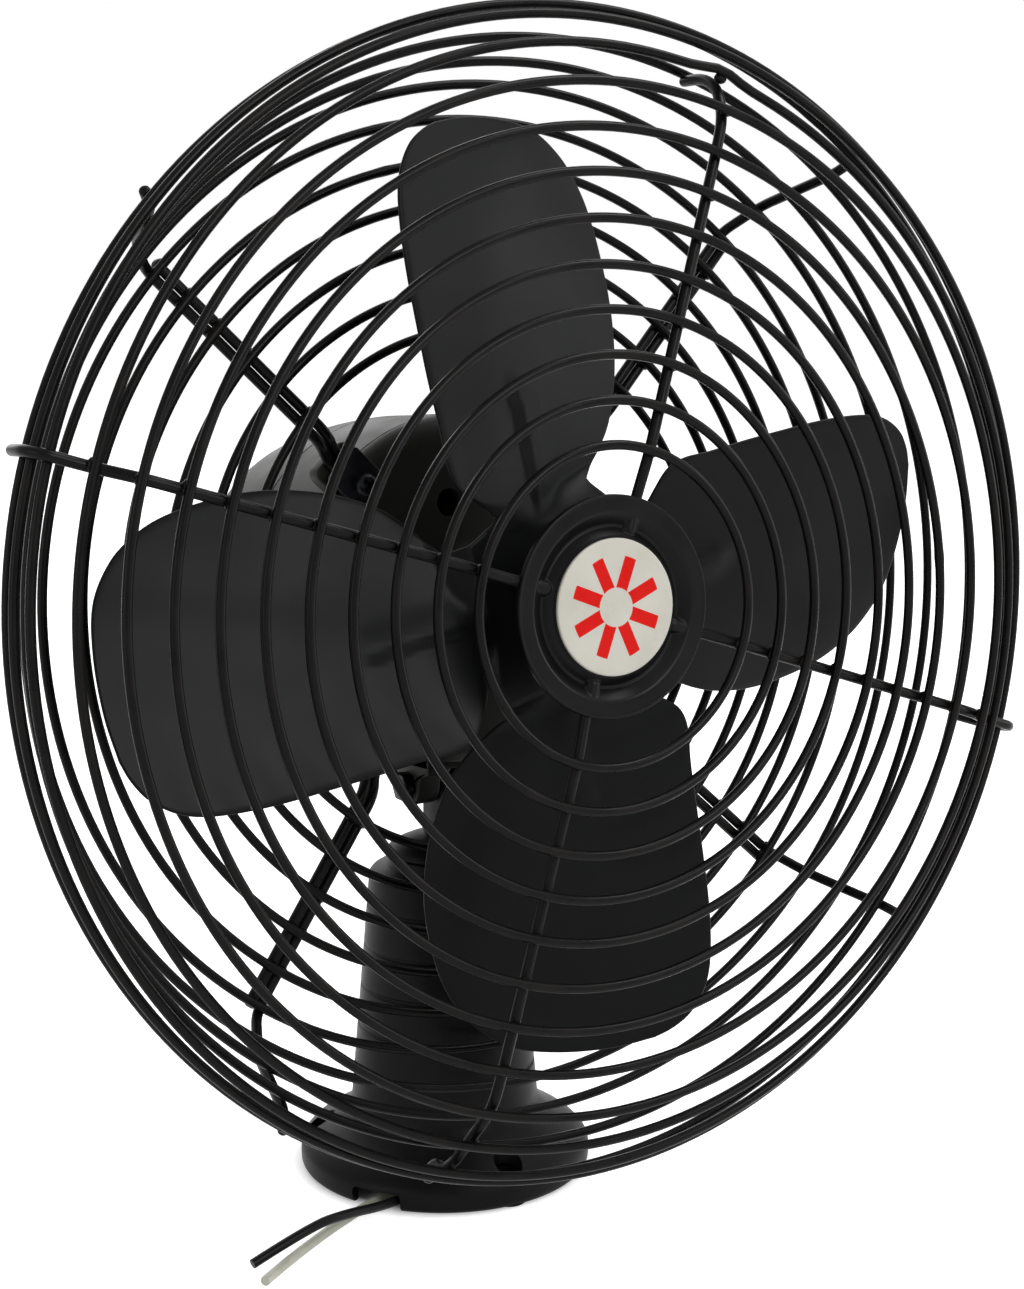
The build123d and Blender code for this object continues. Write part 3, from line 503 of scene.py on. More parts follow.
# Leads: colour, route, material, where each leaves the foot, and its length outside it
LEADS = (
    ("black", BLACK_ROUTE, black_sleeve, (-26.0, -21.5, 1.9), 59),
    ("white", WHITE_ROUTE, white_sleeve, (-30.5, -15.6, 1.1), 65),
)


def lead(colour, route, material, exit_place, length):
    """Insulated wire: one open NURBS curve on the route's points, round, of order 3."""
    name = "supply_lead_" + colour
    line = bpy.data.curves.new(name, "CURVE")
    line.dimensions = "3D"
    line.bevel_depth = LEAD_DIAMETER / 2 * MM
    line.bevel_resolution = 6
    line.resolution_u = 24
    line.use_fill_caps = True
    spline = line.splines.new("NURBS")
    spline.points.add(len(route) - 1)
    for point, place in zip(spline.points, route):
        point.co = (*metres(place), 1)
    spline.order_u = 3
    spline.use_endpoint_u = True
    line.materials.append(material)
    wire = add_object(name, line)
    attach(wire, "base")
    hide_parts(colour + "_lead")
    metres(exit_place)


for lead_values in LEADS:
    lead(*lead_values)


# Wire guard
RING_WIRE = 2.1
ROD_WIRE = 2.4
RING_STEPS = 216
FACE_RINGS = [(33.4 + 9.29 * k, 13.5 - 0.356 * k) for k in range(8)]
SHOULDER_RINGS = ((107.7, 10.3), (115.5, 5.2))
OUTER_RING = (122.5, 0.0)
FRONT_RIM_RING = (124.5, -3.0)
REAR_RIM_RING = (124.5, -7.0)
SIDE_RINGS = ((118.9, -12.3), (115.2, -23.0), (111.4, -32.5))
BACK_RINGS = [*[(58.8 + 9.25 * k, -41.0) for k in range(5)], (104.6, -41.0)]
# Kink in the outer shoulder ring: clock angle in degrees, depth in mm and width in degrees
RING_KINK = (19.0, 1.4, 2.6)
SPOKE_ANGLES = (19.6, 109.0, 197.9, 288.4)
RIB_ANGLES = (43.0, 133.0, 216.0, 315.0)
RIB_HALF_GAP = 1.3
# How far a hoop wanders, and by what share and how far along it swells at its weld
WANDER = 0.09
WELD_SWELL = 0.1
WELD_REACH = 1.4
# Paint beads: half sizes along the ring, across it and forward
FRONT_BEAD = (1.5, 1.2, 1.18)
REAR_BEAD = (1.6, 1.4, 1.3)
# A bead's place behind the ring's middle, and its chance shift in degrees
BEAD_BACK = 1.1
BEAD_SHIFT = 0.25

hand = np.random.default_rng(11)


def ring(radius, ahead, kink=None):
    """Hoop of round wire: a circle whose radius and place wander by a tenth of a
    millimetre in slow waves, with a slight swell where its ends were butt welded, and
    pushed outward round a kink, if it has one, by a bell curve."""
    angle = even_turn(RING_STEPS)
    waves = np.arange(2, 5)[:, None]
    drift = []
    for _ in range(2):
        size = hand.normal(0, WANDER, (len(waves), 1))
        phase = hand.uniform(0, FULL_TURN, (len(waves), 1))
        drift.append((size * np.cos(waves * angle + phase)).sum(0))
    weld = hand.uniform(0, FULL_TURN)
    off_weld = (angle - weld + math.pi) % FULL_TURN - math.pi
    swell = 1 + WELD_SWELL * np.exp(-((off_weld * radius / WELD_REACH) ** 2))
    away = radius + drift[0]
    if kink:
        at, depth, width = kink
        off_kink = (np.degrees(angle) - at + 180) % 360 - 180
        away = away + depth * np.exp(-((off_kink / width) ** 2))
    path = clock_points(away, angle, RIM_AHEAD + ahead + drift[1])
    return tube(path, RING_WIRE / 2 * swell, FORWARD, closed=True, sides=12)


def rod(local, angle, bend, reference=None):
    """Bent rod at a clock angle: corners (ahead of the rim, radius, aside) joined by bent
    runs and swept as round wire."""
    outward = clock_direction(angle)
    aside = np.cross(FORWARD, outward)
    line = bent_line(local, bend)
    path = HEAD_CENTRE + (RIM_AHEAD + line[:, :1]) * FORWARD + line[:, 1:2] * outward + line[:, 2:] * aside
    return tube(path, ROD_WIRE / 2, aside if reference is None else reference)


def bead(radius, ahead, angle, long, wide, deep):
    """Paint bead behind a weld: a small ball stretched along the ring, across it and
    forward."""
    tangent, outward = clock_direction(angle + 90), clock_direction(angle)
    fall = np.linspace(0, math.pi, 7)[:, None, None]
    turn = even_turn(10)[None, :, None]
    ball = (
        long * np.sin(fall) * np.cos(turn) * tangent
        + wide * np.sin(fall) * np.sin(turn) * outward
        + deep * np.cos(fall) * FORWARD
    )
    middle = clock_points(radius, math.radians(angle), RIM_AHEAD + ahead - BEAD_BACK)
    return middle + ball, False, True


# Corners of the rods: (ahead of the rim, radius)
SPOKE_FACE = ((10.3, 15.6), (10.35, 24.0), (11.2, 33.4), (8.65, 98.4), (7.85, 107.0), (2.7, 113.9))
SPOKE_ENDS = (
    ((-3.0, 116.5), (-10.2, 116.7)),
    ((2.0, 124.1), (-1.2, 126.9), (-8.6, 126.9), (-10.1, 125.4), (-10.1, 117.5)),
    ((-2.2, 120.6), (-4.4, 122.3), (-8.3, 122.3), (-10.4, 123.8), (-10.4, 126.4)),
    ((2.0, 124.1), (-1.2, 126.9), (-8.0, 126.9)),
)
RIB_WIRE_AT = -48.3
RIB_OUTER = (
    (-9.2, 125.4), (-12.9, 121.8), (-33.6, 114.0), (-43.2, 106.3), (-43.2, 52.0),
    (RIB_WIRE_AT, 46.5), (RIB_WIRE_AT, 39.8),
)
RIB_INNER = ((RIB_WIRE_AT, 39.8), (RIB_WIRE_AT, 46.5), (-43.2, 52.0), (-43.2, 105.0))

SPOKE_BEND = 4.5
RIB_BEND = 3.5
# Hoops: piece, rings and CAD node
FRONT_HOOPS = (
    ("front_face_hoops", [*FACE_RINGS, SHOULDER_RINGS[0]], "front_face_rings"),
    ("front_rim_hoops", [(*SHOULDER_RINGS[1], RING_KINK), OUTER_RING, FRONT_RIM_RING], "front_rim_rings"),
)
REAR_HOOPS = (
    ("rear_rim_hoop", [REAR_RIM_RING], "rear_rim_ring"),
    ("rear_side_hoops", SIDE_RINGS, "rear_side_rings"),
    ("rear_back_hoops", BACK_RINGS, "rear_back_rings"),
)


def spokes():
    """Front rods: the shared run over the face and each rod's own end, in one plane."""
    for angle, end in zip(SPOKE_ANGLES, SPOKE_ENDS):
        yield rod([(*corner, 0.0) for corner in (*SPOKE_FACE, *end)], angle, SPOKE_BEND)


def hairpin_ribs():
    """Rear rods: in along one side of a narrow gap and back along the other."""
    corners = [(*corner, RIB_HALF_GAP) for corner in RIB_OUTER]
    corners += [(*corner, -RIB_HALF_GAP) for corner in RIB_INNER]
    for angle in RIB_ANGLES:
        yield rod(corners, angle, RIB_BEND, FORWARD)


def front_beads():
    """A bead at each crossing of a spoke and a ring, a little to one side by chance."""
    for radius, ahead in (*FACE_RINGS, *SHOULDER_RINGS):
        for angle in SPOKE_ANGLES:
            yield bead(radius, ahead, angle + hand.normal(0, BEAD_SHIFT), *FRONT_BEAD)


def rear_beads():
    """A bead at each crossing of a back ring and one side of a hairpin rib."""
    for radius, ahead in BACK_RINGS:
        for angle in RIB_ANGLES:
            for side in (-1, 1):
                off = side * math.degrees(RIB_HALF_GAP / radius)
                yield bead(radius, ahead, angle + off, *REAR_BEAD)


def hoops(table):
    """A piece for each row of a table of hoops, with every ring drawn by ring()."""
    for name, rings, node in table:
        make_piece(name, [ring(*values) for values in rings], GUARD_WIRE, node)


hoops(FRONT_HOOPS)
make_piece("front_spokes", spokes(), GUARD_WIRE, "front_guard_spokes")
hoops(REAR_HOOPS)
make_piece("rear_hairpin_ribs", hairpin_ribs(), GUARD_WIRE, "rear_ribs")
make_piece("front_weld_beads", front_beads(), GUARD_WIRE)
make_piece("rear_weld_beads", rear_beads(), GUARD_WIRE)


# Centre cap: a pressed dish whose groove is bossed over the four spoke ends
CAP_FRONT = RIM_AHEAD + 12.3
CAP_PROFILE = (
    (0.0, 0.0), (13.6, 0.0), (14.5, 0.0), (14.8, -0.12), (15.2, -0.5), (16.3, -1.65),
    (16.7, -1.92), (17.1, -1.92), (17.5, -1.7), (19.2, -0.42), (19.7, -0.12), (20.3, -0.01),
    (22.5, 0.0), (23.0, 0.06), (23.3, -0.06), (23.42, -0.35),
)
CAP_SHEET = 0.8
CAP_STEPS = 360
# Boss over a spoke end: its radius, its line's depth below the face, and its two ends
BOSS_RADIUS = 1.7
BOSS_DEPTH = 2.0
BOSS_START = 16.6
BOSS_END = 20.5


def cap_sheet():
    """Cap surface: height is the profile at each radius, or a half-round boss along each
    spoke where that is higher, ended by a ball toward the middle."""
    profile = smooth_line(CAP_PROFILE, 6)
    radius, height = np.maximum.accumulate(profile[:, 0]), profile[:, 1]
    turn = even_turn(CAP_STEPS)
    front = np.repeat(height[:, None], CAP_STEPS, 1)
    for spoke in SPOKE_ANGLES:
        off = turn - math.radians(spoke)
        along = radius[:, None] * np.cos(off)
        beside = radius[:, None] * np.sin(off)
        short = np.maximum(BOSS_START - along, 0)
        reach = beside**2 + short**2
        boss = np.sqrt(np.maximum(BOSS_RADIUS**2 - reach, 0)) - BOSS_DEPTH
        near = (reach < BOSS_RADIUS**2) & (along > 0) & (along < BOSS_END)
        front = np.where(near, np.maximum(front, boss), front)
    back = front[::-1] - CAP_SHEET
    rows = np.concatenate([radius, radius[::-1]])[:, None]
    heights = np.concatenate([front, back])
    return clock_points(rows, turn[None, :], CAP_FRONT + heights), False, True


make_piece("front_cap", [cap_sheet()], (cap_enamel, "black_paint", "head"), "guard_cap", crease=60)

# Disc in the cap, printed with a ring of short red bars
DISC_RADIUS = 14.4
DISC_THICK = 0.62
DISC_EDGE = 0.35
DISC_ROWS = 24
DISC_STEPS = 144
BAR_COUNT = 8
# Bars: half width as a share of a bar's pitch at the rim, and reach as shares of the radius
BAR_HALF_WIDTH = 0.13
BAR_BAND = (0.28, 0.76)
BAR_RED = "#b90c05"
# Soft edges of the ink at a bar's sides and ends
INK_SIDE = 0.004
INK_END = 0.01


def disc_print():
    """Screen-printed and lacquered steel disc: pale grey with red bars and a soft gloss.
    A bar is where the angle's distance from its middle, times the radius, is small, and
    the radius lies in a band. Both come from the disc's UV map of (angle, radius)."""
    material = finish("lacquered_printed_disc", "#aca9a0", "#b3b0a7", 9, 0.6, 0.002, 0.3, IOR=1.22)
    tree = material.node_tree
    surface = tree.nodes["Principled BSDF"]
    paint = surface.inputs["Base Color"].links[0].from_socket
    uv = add_node(tree, "UVMap", {"uv_map": "UVMap"}).outputs["UV"]
    axes = add_node(tree, "SeparateXYZ", (), {"Vector": uv})
    multiply = {"operation": "MULTIPLY"}
    count = {"operation": "MULTIPLY", 1: BAR_COUNT}
    turns = add_node(tree, "Math", count, {0: axes.outputs["X"]})
    phase = add_node(tree, "Math", {"operation": "FRACT"}, {0: turns.outputs[0]})
    middle = add_node(tree, "Math", {"operation": "SUBTRACT", 1: 0.5}, {0: phase.outputs[0]})
    off = add_node(tree, "Math", {"operation": "ABSOLUTE"}, {0: middle.outputs[0]})
    arc = add_node(tree, "Math", multiply, {0: off.outputs[0], 1: axes.outputs["Y"]})
    sides = {"From Min": BAR_HALF_WIDTH, "From Max": BAR_HALF_WIDTH - INK_SIDE}
    mask = add_node(tree, "MapRange", sides, {"Value": arc.outputs[0]})
    for radius, inward in zip(BAR_BAND, (INK_END, -INK_END)):
        reach = {"From Min": radius, "From Max": radius + inward}
        inside = add_node(tree, "MapRange", reach, {"Value": axes.outputs["Y"]})
        mask = add_node(tree, "Math", multiply, {0: mask.outputs[0], 1: inside.outputs[0]})
    colours = {"data_type": "RGBA", 7: linear(BAR_RED)}
    printed = add_node(tree, "Mix", colours, {0: mask.outputs[0], 6: paint})
    tree.links.new(printed.outputs[2], surface.inputs["Base Color"])
    return material


def disc_mesh():
    """Flat disc with a rolled edge. Its map is the angle as a share of a turn and the
    radius as a share of the disc's own."""
    roll = np.linspace(0, math.pi / 2, 5)[1:]
    flat = DISC_RADIUS - DISC_EDGE
    face = np.stack([np.linspace(0, flat, DISC_ROWS), np.full(DISC_ROWS, DISC_THICK)], -1)
    edge = np.stack([flat + DISC_EDGE * np.sin(roll), DISC_THICK - DISC_EDGE * (1 - np.cos(roll))], -1)
    profile = np.concatenate([face, edge, [(DISC_RADIUS, 0.0), (0.0, 0.0)]])
    radius, height = profile[:, :1], profile[:, 1:]
    turn = np.arange(DISC_STEPS + 1)[None, :] / DISC_STEPS
    points = clock_points(radius, turn * FULL_TURN, CAP_FRONT + height)
    uv = np.stack(np.broadcast_arrays(turn, radius / DISC_RADIUS), -1)
    return make_mesh("front_disc", [(points, False, False)], uv)


make_piece("front_disc", disc_mesh(), (disc_print(), "white_disc", "head"), "cap_disc", crease=60)


# Blade wheel: one pressing. Outlines are the flat pattern of one blade, (out, around).
BLADE_COUNT = 4
BLADE_ANGLE = -17.7
WHEEL_AHEAD = 49.9
BLADE_PITCH = math.radians(18.8)
BLADE_SHEET = 0.9
WHEEL_BORE = 3.4
# The fold across a root starts and ends at these distances, farther out on the leading side
FOLD_START = 16.6
FOLD_END = 23.4
FOLD_SLANT = 0.35
BOW_DEPTH = 1.4
BOW_MIDDLE = 16.0
BOW_REACH = 35.0
# The dart's line, (out, around), its height, and how far its two sides run
DART_LINE = ((17, 2.6), (24, 3.4), (32, 5.0), (42, 6.6), (50, 7.0))
DART_END = 42.0
DART_HEIGHT = 1.1
DART_STEEP = (-1.7, 0.1)
DART_FALL = (0.4, 9.0)
LEADING_EDGE = (
    (23.0, -9.0), (25.4, -11.0), (28.8, -14.6), (33.0, -18.0), (38.0, -18.5), (46.0, -16.8),
    (60.0, -14.5), (78.0, -11.2), (90.0, -7.8), (96.5, -4.4), (100.8, 0.4), (102.6, 5.4),
    (103.0, 10.0),
)
TRAILING_EDGE = (
    (20.6, 19.3), (22.4, 23.3), (24.9, 28.6), (28.8, 34.2), (36.5, 40.6), (45.2, 45.4),
    (54.0, 48.6), (63.0, 50.2), (72.0, 50.6), (79.0, 49.4), (86.0, 46.4), (93.0, 40.2),
    (98.0, 30.6), (101.5, 19.5), (103.0, 10.0),
)
EDGE_STEPS = 96
BLADE_STEPS = 40
HUB_STEPS = 34
NORMAL_STEP = 0.05
# Notch to the next blade, in two halves that meet on flat sheet
NOTCH_OUT = ((20.6, 19.3), (18.9, 18.9), (15.6, 19.2), (12.1, 20.2))
NOTCH_IN = ((20.2, -12.1), (21.2, -10.0), (23.0, -9.0))


def blade_sheet_point(out, around):
    """Middle surface of a blade from its flat pattern: past a fold across the root the
    chord tips by the pitch, its edges bow back by a parabola, and a dart stands forward of
    it, steep on its leading side and falling away slowly on the other."""
    slanted = out + FOLD_SLANT * np.minimum(around, 0)
    past_fold = np.clip((slanted - FOLD_START) / (FOLD_END - FOLD_START), 0, 1)
    tip = BLADE_PITCH * np.sin(past_fold * math.pi / 2)
    bow = -BOW_DEPTH * ((around - BOW_MIDDLE) / BOW_REACH) ** 2 * smooth_step(out, 26, 60)
    dart = around - np.interp(out, *zip(*DART_LINE))
    beyond = np.hypot(np.maximum(out - DART_END, 0), np.maximum(dart, 0))
    flank = smooth_step(dart, *DART_STEEP) * (1 - smooth_step(beyond, *DART_FALL))
    lift = DART_HEIGHT * smooth_step(out, 18, 25) * flank + bow
    return around * np.cos(tip) + lift * np.sin(tip), lift * np.cos(tip) - around * np.sin(tip)


def wheel_point(flat, spin):
    """Place of a flat-pattern point on the blade turned to a clock angle."""
    out, around = flat[..., 0], flat[..., 1]
    chord, ahead = blade_sheet_point(out, around)
    right = out * np.sin(spin) + chord * np.cos(spin)
    return head_points(right, out * np.cos(spin) - chord * np.sin(spin), WHEEL_AHEAD + ahead)


def wheel_normal(flat, spin):
    """Direction square to the sheet: the cross product of a small step out and one around."""
    out_step, around_step = np.eye(2) * NORMAL_STEP
    out_run = wheel_point(flat + out_step, spin) - wheel_point(flat - out_step, spin)
    around_run = wheel_point(flat + around_step, spin) - wheel_point(flat - around_step, spin)
    return unit(np.cross(out_run, around_run))


def even_steps(line, count):
    """Points at even distances along a line."""
    far = np.append(0, np.cumsum(np.linalg.norm(np.diff(line, axis=0), axis=1)))
    at = np.linspace(0, far[-1], count)
    return np.stack([np.interp(at, far, part) for part in line.T], -1)


def wheel_sheets():
    """Pressing as two faces half a sheet from the middle surface, joined by a half-round
    edge. A blade is ruled from its leading to its trailing edge, and the hub runs straight
    from the bore to the blade roots and the notches between them."""
    leading = even_steps(smooth_line(LEADING_EDGE, 12), EDGE_STEPS)
    trailing = even_steps(smooth_line(TRAILING_EDGE, 12), EDGE_STEPS)
    across = np.linspace(0, 1, BLADE_STEPS)[None, :, None]
    blade = leading[:, None] * (1 - across) + trailing[:, None] * across
    notch_in, notch_out = smooth_line(NOTCH_IN, 7), smooth_line(NOTCH_OUT, 6)
    hub_edge = np.concatenate([notch_in[:-1], blade[0], notch_out[1:]])
    reach = WHEEL_BORE / np.linalg.norm(hub_edge, axis=1, keepdims=True)
    outward = np.linspace(0, 1, HUB_STEPS)[:, None, None]
    hub = hub_edge * (reach + (1 - reach) * outward)
    edge = np.concatenate([notch_in[:-1], leading[:-1], trailing[::-1], notch_out[1:-1]])
    half = BLADE_SHEET / 2
    sheets, rims, rim_normals, bore = [], [], [], []
    for k in range(BLADE_COUNT):
        spin = math.radians(BLADE_ANGLE + 90 * k)
        for flat in (blade, hub):
            middle, normal = wheel_point(flat, spin), wheel_normal(flat, spin)
            sheets += [(middle + half * side * normal, False, False) for side in (1, -1)]
        bore.append(np.stack([middle[0] + half * side * normal[0] for side in (1, -1)])[:, :-1])
        rims.append(wheel_point(edge, spin))
        rim_normals.append(wheel_normal(edge, spin))
    rim, normal = np.concatenate(rims), np.concatenate(rim_normals)
    away = unit(np.cross(np.roll(rim, -1, 0) - np.roll(rim, 1, 0), normal))
    roll = np.linspace(0, math.pi, 7)[:, None, None]
    sheets.append((rim + half * (np.cos(roll) * normal + np.sin(roll) * away), False, True))
    sheets.append((np.concatenate(bore, 1), False, True))
    return sheets


make_piece("blade_wheel_pressing", wheel_sheets(), WHEEL_PAINT, "blade_wheel", crease=50)


# Hub bushing, rivets and set screw
HUB_BACK = WHEEL_AHEAD - BLADE_SHEET / 2
HUB_REAR = 20.0
HUB_PROFILE = (
    (3.02, HUB_REAR), (6.4, HUB_REAR), (7.0, HUB_REAR + 0.6), (7.0, HUB_BACK - 3.2),
    (7.6, HUB_BACK - 2.2), (13.5, HUB_BACK - 2.0), (14.0, HUB_BACK - 1.5), (14.0, HUB_BACK),
    (3.02, HUB_BACK),
)
RIVET_CIRCLE = 10.5
RIVET_RADIUS = 1.9
RIVET_HEIGHT = 1.1
SET_SCREW_AHEAD = 27.0
SET_SCREW_ANGLE = -60.0
SET_SCREW_RADIUS = 1.9
# Distances from the shaft's axis: the screw's point, its thread and its end face
SET_SCREW_POINT = 3.1
SET_SCREW_THREAD = (3.4, 7.6)
SET_SCREW_END = 7.9
THREAD_DEPTH = 0.12
THREAD_ROWS = 14
SLOT_DEPTH = 0.9
SLOT_SIDE = (0.25, 0.4)

boss = turned(HUB_PROFILE, clock_points, 96, closed=True)
make_piece("hub_boss", [boss], (black_oxide, "blackened_steel", "rotor"), "hub_bushing")


def rivet_heads():
    """Domed heads: a half ellipse turned round each rivet's own axis, and a flat underside
    on the pressing."""
    rise = np.linspace(0, math.pi / 2, 7)
    radius = np.append(RIVET_RADIUS * np.sin(rise), 0.0)[:, None]
    height = np.append(RIVET_HEIGHT * np.cos(rise), 0.0)[:, None]
    turn = even_turn(20)
    for k in range(BLADE_COUNT):
        at = math.radians(BLADE_ANGLE + 45 + 90 * k)
        right = RIVET_CIRCLE * math.sin(at) + radius * np.cos(turn)
        up = RIVET_CIRCLE * math.cos(at) + radius * np.sin(turn)
        yield head_points(right, up, WHEEL_AHEAD + BLADE_SHEET / 2 + height), False, True


make_piece("hub_rivet_heads", rivet_heads(), WHEEL_PAINT, "hub_rivets")


def set_screw():
    """Slotted grub screw: a turned profile round the screw's line, with a ridge on every
    other row of its thread. Its end face is sunk to a slot near the slot's line."""
    line = clock_direction(SET_SCREW_ANGLE)
    beside = np.cross(FORWARD, line)
    ridge = THREAD_DEPTH * np.cos(np.arange(THREAD_ROWS) * math.pi)
    face = np.linspace(SET_SCREW_RADIUS, 0.0, THREAD_ROWS)
    radius = np.concatenate([[0.0, SET_SCREW_RADIUS], SET_SCREW_RADIUS + ridge, face])[:, None]
    thread = np.linspace(*SET_SCREW_THREAD, THREAD_ROWS)
    height = np.concatenate([[SET_SCREW_POINT] * 2, thread, [SET_SCREW_END] * THREAD_ROWS])[:, None]
    turn = even_turn(32)
    x, y = radius * np.cos(turn), radius * np.sin(turn)
    sunk = (height == SET_SCREW_END) * (1 - smooth_step(np.abs(x), *SLOT_SIDE)) * SLOT_DEPTH
    x, y, rise = x[..., None], y[..., None], (height - sunk)[..., None]
    return HEAD_CENTRE + (SET_SCREW_AHEAD + x) * FORWARD + y * beside + rise * line, False, True


make_piece("hub_grub_screw", [set_screw()], (turned_brass, "brass_screw", "rotor"), "hub_set_screw")


# Motor shells. Profiles are (radius, ahead of the column's centre line).
CAN_FRONT = 6.0
CAN_REAR = -22.0
FACE_AHEAD = 13.0
NOSE_END = 17.0
REAR_SHELL = (
    (0.0, -65.0), (6.5, -65.0), (7.4, -64.6), (7.8, -64.05), (20.0, -64.0), (26.5, -63.9),
    (30.0, -63.0), (32.3, -61.2), (33.6, -59.0), (34.8, -55.0), (36.0, -50.0), (37.0, -45.0),
    (37.8, -40.0), (38.4, -35.0), (38.9, -30.0), (39.3, -25.0), (39.5, CAN_REAR - 0.35),
    (39.2, CAN_REAR),
)
REAR_SHELL_INSIDE = ((36.8, CAN_REAR), (35.0, -45.0), (32.0, -56.0), (26.0, -61.6), (0.0, -61.8))
CAN_PROFILE = (
    (39.2, CAN_REAR), (39.55, CAN_REAR + 0.35), (39.7, -10.0), (40.0, 0.0),
    (40.0, CAN_FRONT - 0.3), (39.7, CAN_FRONT), (37.6, CAN_FRONT), (37.6, CAN_REAR),
)
FRONT_SHELL = (
    (37.6, CAN_FRONT), (39.75, CAN_FRONT), (40.0, CAN_FRONT + 0.3), (39.9, 8.0), (39.0, 9.9),
    (37.2, 11.5), (34.6, 12.5), (31.0, FACE_AHEAD), (12.5, FACE_AHEAD),
    (9.2, FACE_AHEAD + 0.35), (8.1, FACE_AHEAD + 1.4), (7.6, NOSE_END - 0.5), (7.1, NOSE_END),
    (5.0, NOSE_END), (5.0, FACE_AHEAD - 2.5), (30.0, FACE_AHEAD - 2.5), (35.4, 9.4),
    (37.4, 7.0),
)

rear_shell = turned(REAR_SHELL + REAR_SHELL_INSIDE, clock_points)
make_piece("motor_rear_shell", [rear_shell], CASTING, "rear_cover")
make_piece("motor_can_shell", [turned(CAN_PROFILE, clock_points, closed=True)], CASTING, "motor_can")

VENT_CIRCLE = 20.8
VENT_RADIUS = 3.2
VENT_ANGLE = 168.0
VENT_COUNT = 6


def round_tool(right, up, radius, low, high, place=head_points, steps=40):
    """Closed cylinder for cutting: a circle carried from low to high, with fan ends."""
    turn = even_turn(steps)
    scale = np.array((0, 1, 1, 0))[:, None] * radius
    level = np.broadcast_to(np.array((low, low, high, high))[:, None], (4, steps))
    return place(right + scale * np.cos(turn), up + scale * np.sin(turn), level), False, True


vents = []
for at in math.radians(VENT_ANGLE) + even_turn(VENT_COUNT):
    right, up = VENT_CIRCLE * math.sin(at), VENT_CIRCLE * math.cos(at)
    vents.append(round_tool(right, up, VENT_RADIUS, FACE_AHEAD - 6, FACE_AHEAD + 4))
front_shell = turned(FRONT_SHELL, clock_points, closed=True)
front_mesh = carve("motor_front_shell", front_shell, ("DIFFERENCE", vents))
make_piece("motor_front_shell", front_mesh, CASTING, "front_cover")


def radial_place(angle):
    """Place function for plates on the motor's face: x beside, y outward, z ahead."""
    outward = clock_direction(angle)
    beside = np.cross(FORWARD, outward)

    def place(x, y, z):
        """Steps along the three directions, added up from the head's centre."""
        x, y, z = x[..., None], y[..., None], z[..., None]
        return HEAD_CENTRE + x * beside + y * outward + z * FORWARD

    return place


# Each lug carries a round boss, and the clamp plate lies on the boss under its screw
LUG_OUTLINE = rounded_box(11.0, 17.0, 2.2) + (0, 37.5)
LUG_BACK = 5.2
LUG_FRONT = 10.0
BOSS_PLACE = (0.0, 36.3)
BOSS_OUTLINE = rounded_box(6.0, 6.0, 2.95) + BOSS_PLACE
CLAMP_OUTLINE = rounded_box(10.0, 11.0, 1.2) + (0, 38.8)
CLAMP_BACK = 12.4
CLAMP_FRONT = 13.6
lugs, clamps = [], []
for rib in RIB_ANGLES:
    lugs.append(slab(LUG_OUTLINE, LUG_BACK, LUG_FRONT, 0.7, radial_place(rib)))
    lugs.append(slab(BOSS_OUTLINE, LUG_FRONT - 2, CLAMP_BACK, 0.3, radial_place(rib)))
    clamps.append(slab(CLAMP_OUTLINE, CLAMP_BACK, CLAMP_FRONT, 0.35, radial_place(rib)))
make_piece("motor_guard_lugs", lugs, CASTING)
make_piece("guard_clamp_plates", clamps, HEAD_STEEL, "guard_clamps")

SCREW_HEAD_RADIUS = 2.8
SCREW_HEAD_HEIGHT = 1.9
# The cross: an arm's half width and reach, each with a soft edge, and depth over height
CROSS_SIDE = (0.3, 0.48)
CROSS_REACH = (1.3, 1.75)
CROSS_DEPTH = 0.62


def cross_head(place):
    """Pan-head screw: a domed disc whose top is sunk by a cross that ends short of its rim."""
    fall = np.linspace(0, 1, 18)
    dome = SCREW_HEAD_HEIGHT * (1 - 0.35 * fall**2 - 0.65 * fall**9)
    rows = np.append(fall * SCREW_HEAD_RADIUS, [SCREW_HEAD_RADIUS, 0.0])[:, None]
    tall = np.append(dome, [0.0, 0.0])[:, None]
    turn = even_turn(48)
    x, y = rows * np.cos(turn), rows * np.sin(turn)
    arms = 1 - smooth_step(np.minimum(np.abs(x), np.abs(y)), *CROSS_SIDE)
    sunk = arms * (1 - smooth_step(rows, *CROSS_REACH)) * SCREW_HEAD_HEIGHT * CROSS_DEPTH
    rise = np.where(tall > 0, tall - sunk, 0)
    return place(x + BOSS_PLACE[0], y + BOSS_PLACE[1], CLAMP_FRONT + rise), False, True


screws = [cross_head(radial_place(rib)) for rib in RIB_ANGLES]
make_piece("guard_clamp_screws", screws, HEAD_STEEL, "guard_screws")


# Motor foot: a fork under the can, two cheeks and a pad
TILT_HEIGHT = 94.0
PIN_AHEAD = (TILT_HEIGHT - HEAD_HEIGHT) * math.sin(HEAD_TILT)
PIN_UP = (TILT_HEIGHT - HEAD_HEIGHT) * math.cos(HEAD_TILT)
CHEEK_RADIUS = 4.6
CHEEK_SIDE = ((5.4, PIN_UP + 2.2), (9.2, -42.7), (10.0, -41.6), (10.0, -38.4))
CHEEK_INSIDE = 3.25
CHEEK_OUTSIDE = 9.3
PAD_OUTLINE = rounded_box(20.0, 3.6, 0.8) + (PIN_AHEAD, -39.9)


